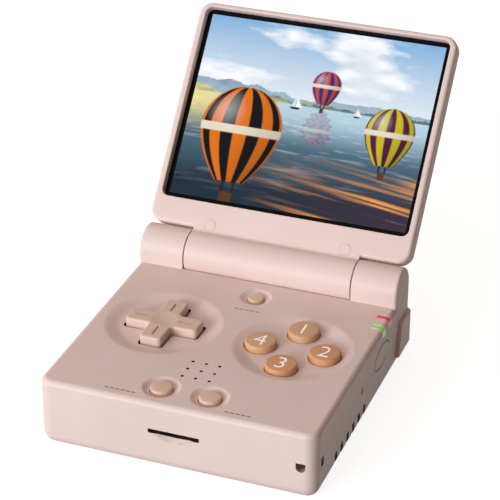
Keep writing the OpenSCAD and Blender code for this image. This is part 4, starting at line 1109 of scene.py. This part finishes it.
def screen_colour(u, v):
    """Linear colour at u across and v up the lit area, both from 0 to 1."""
    far = HORIZON + 0.03 + 0.16 * (cloudy(u * 4.2, 3.3) - 0.25) * (1.15 - u)
    near = HORIZON + 0.008 + 0.055 * (cloudy(u * 9, 8.1) - 0.2)
    if v > far:
        tone = mix(SKY_LOW, SKY_HIGH, (v - HORIZON) / 0.42)
        heap = cloudy(u * 3.4 + 0.8 * v, v * 8.5, 5)
        tone = mix(tone, CLOUD, (heap - 0.44) * 5.5)
        tone = mix(tone, CLOUD_SHADE, (cloudy(u * 3.4 + 0.8 * v, v * 8.5 + 0.35, 4) - 0.56) * 2.6)
    elif v > near:
        tone = mix(FAR_HILL, FAR_TOP, (v - near) / 0.11 + 0.8 * cloudy(u * 25, v * 38, 3) - 0.4)
    elif v > HORIZON:
        tone = mix(NEAR_HILL, SHORE, 0.9 - u * 1.4 + 1.2 * (cloudy(u * 40, v * 90, 3) - 0.5))
    else:
        depth = (HORIZON - v) / HORIZON
        tone = mix(mix(LAKE_SUN, LAKE_FAR, u * 3.0 - 0.1), LAKE_MID, depth * 3.2 - 0.25)
        tone = mix(tone, LAKE_DEEP, depth * 1.5 - 0.25)
        wave = cloudy(u * 7 / (0.3 + depth), 26 * math.log(depth + 0.06), 4)
        tone = mix(tone, CLOUD, (wave - 0.60) * 1.8 * (1 - depth))
        evening = clamp((u - 0.30) * 1.5) * clamp(depth * 2.2 - 0.8)
        comb = cloudy(u * 1.6 + depth * 2, depth * 26 - u * 7, 3)
        tone = mix(tone, PLUM, evening * 0.55)
        tone = mix(tone, GLINT, evening * (comb - 0.47) * 7)
        mirrored = balloon(u + 0.008 * math.sin(v * 190), 2 * HORIZON - v)
        if mirrored:
            tone = mix(tone, mirrored[0], 0.35 * min(1.0, mirrored[1]))
    for boat_u, size in ((0.44, 0.05), (0.70, 0.035)):
        du, dv = (u - boat_u) * 1.3 / size, (v - HORIZON + 0.012) / size
        if 0 < dv < 1.2 and -0.45 * (1.2 - dv) < du < 0.62 * (1.2 - dv) and abs(du - 0.03) > 0.03:
            tone = SAIL if du > 0 else mix(SAIL, SKY_HIGH, 0.4)
        elif -0.22 < dv <= 0 and abs(du) < 0.62 + dv:
            tone = ROPE
    there = balloon(u, v)
    if there:
        tone = mix(tone, there[0], there[1])
    return tone[:3] + [1.0]


LIT_WIDTH, LIT_HEIGHT, LIT_FOOT = 71.1, 54.7, 15.8
bpy.ops.mesh.primitive_grid_add(x_subdivisions=320, y_subdivisions=246, size=1, location=(0, 43.15, 0.245))
bpy.context.object.scale = (LIT_WIDTH, LIT_HEIGHT, 1)
picture = added("picture")
paint = picture.data.color_attributes.new("lit_pixels", "FLOAT_COLOR", "POINT")
for point, dab in zip(picture.data.vertices, paint.data):
    dab.color = screen_colour(point.co.x / LIT_WIDTH + 0.5, (point.co.y - LIT_FOOT) / LIT_HEIGHT)
lit, tree, out = new_material("lit_liquid_crystal_screen")
pixels = add_node(tree, "VertexColor", {"layer_name": "lit_pixels"})
glowing = {**dark_gloss, "Roughness": 0.2, "Emission Strength": 1.0}
shade(tree, out, glowing, {"Emission Color": (pixels, "Color")})
finish_piece(picture, "screen_picture", lit, "lid")

# %% [markdown]
# ## Finishes of the pieces that stay
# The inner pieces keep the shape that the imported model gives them, so they only need a finish. The
# shells hide nearly all of them, but the socket mouths, the screw heads and the vents show some.

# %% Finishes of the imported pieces
FINISHES = {
    bright_steel: [
        "hinge_shaft", "hinge_sleeve", "hinge_cartridge", "dpad_ball", "shoulder_pins", "volume_pin",
        "usb_port", "processor_shield", "lcd_backplate", "lid_magnet",
    ],
    black_abs: [
        "card_socket", "speaker", "headphone_jack", "power_switch", "volume_switches", "option_switches",
        "shoulder_switches", "lcd_panel",
    ],
    zinc_steel: ["case_screws", "lid_screws"],
    grey_pom: ["hinge_bush", "dpad_post"],
    rubber_sheet: ["dpad_membrane", "button_membrane"],
    solder_mask: ["main_board"],
    battery_foil: ["battery_pack"],
    lamp_resin: ["indicator_leds"],
    charge_resin: ["charge_light_pipe"],
    power_resin: ["power_light_pipe"],
}
for material, names in FINISHES.items():
    for name in names:
        piece = frame["nodes"][name]
        if not piece.material_slots:
            piece.data.materials.append(material)
        for place in piece.material_slots:
            place.material = material
finished = [name for names in FINISHES.values() for name in names]
print("modelled again, so without a finish here:", [n for n in frame["nodes"] if n not in finished])
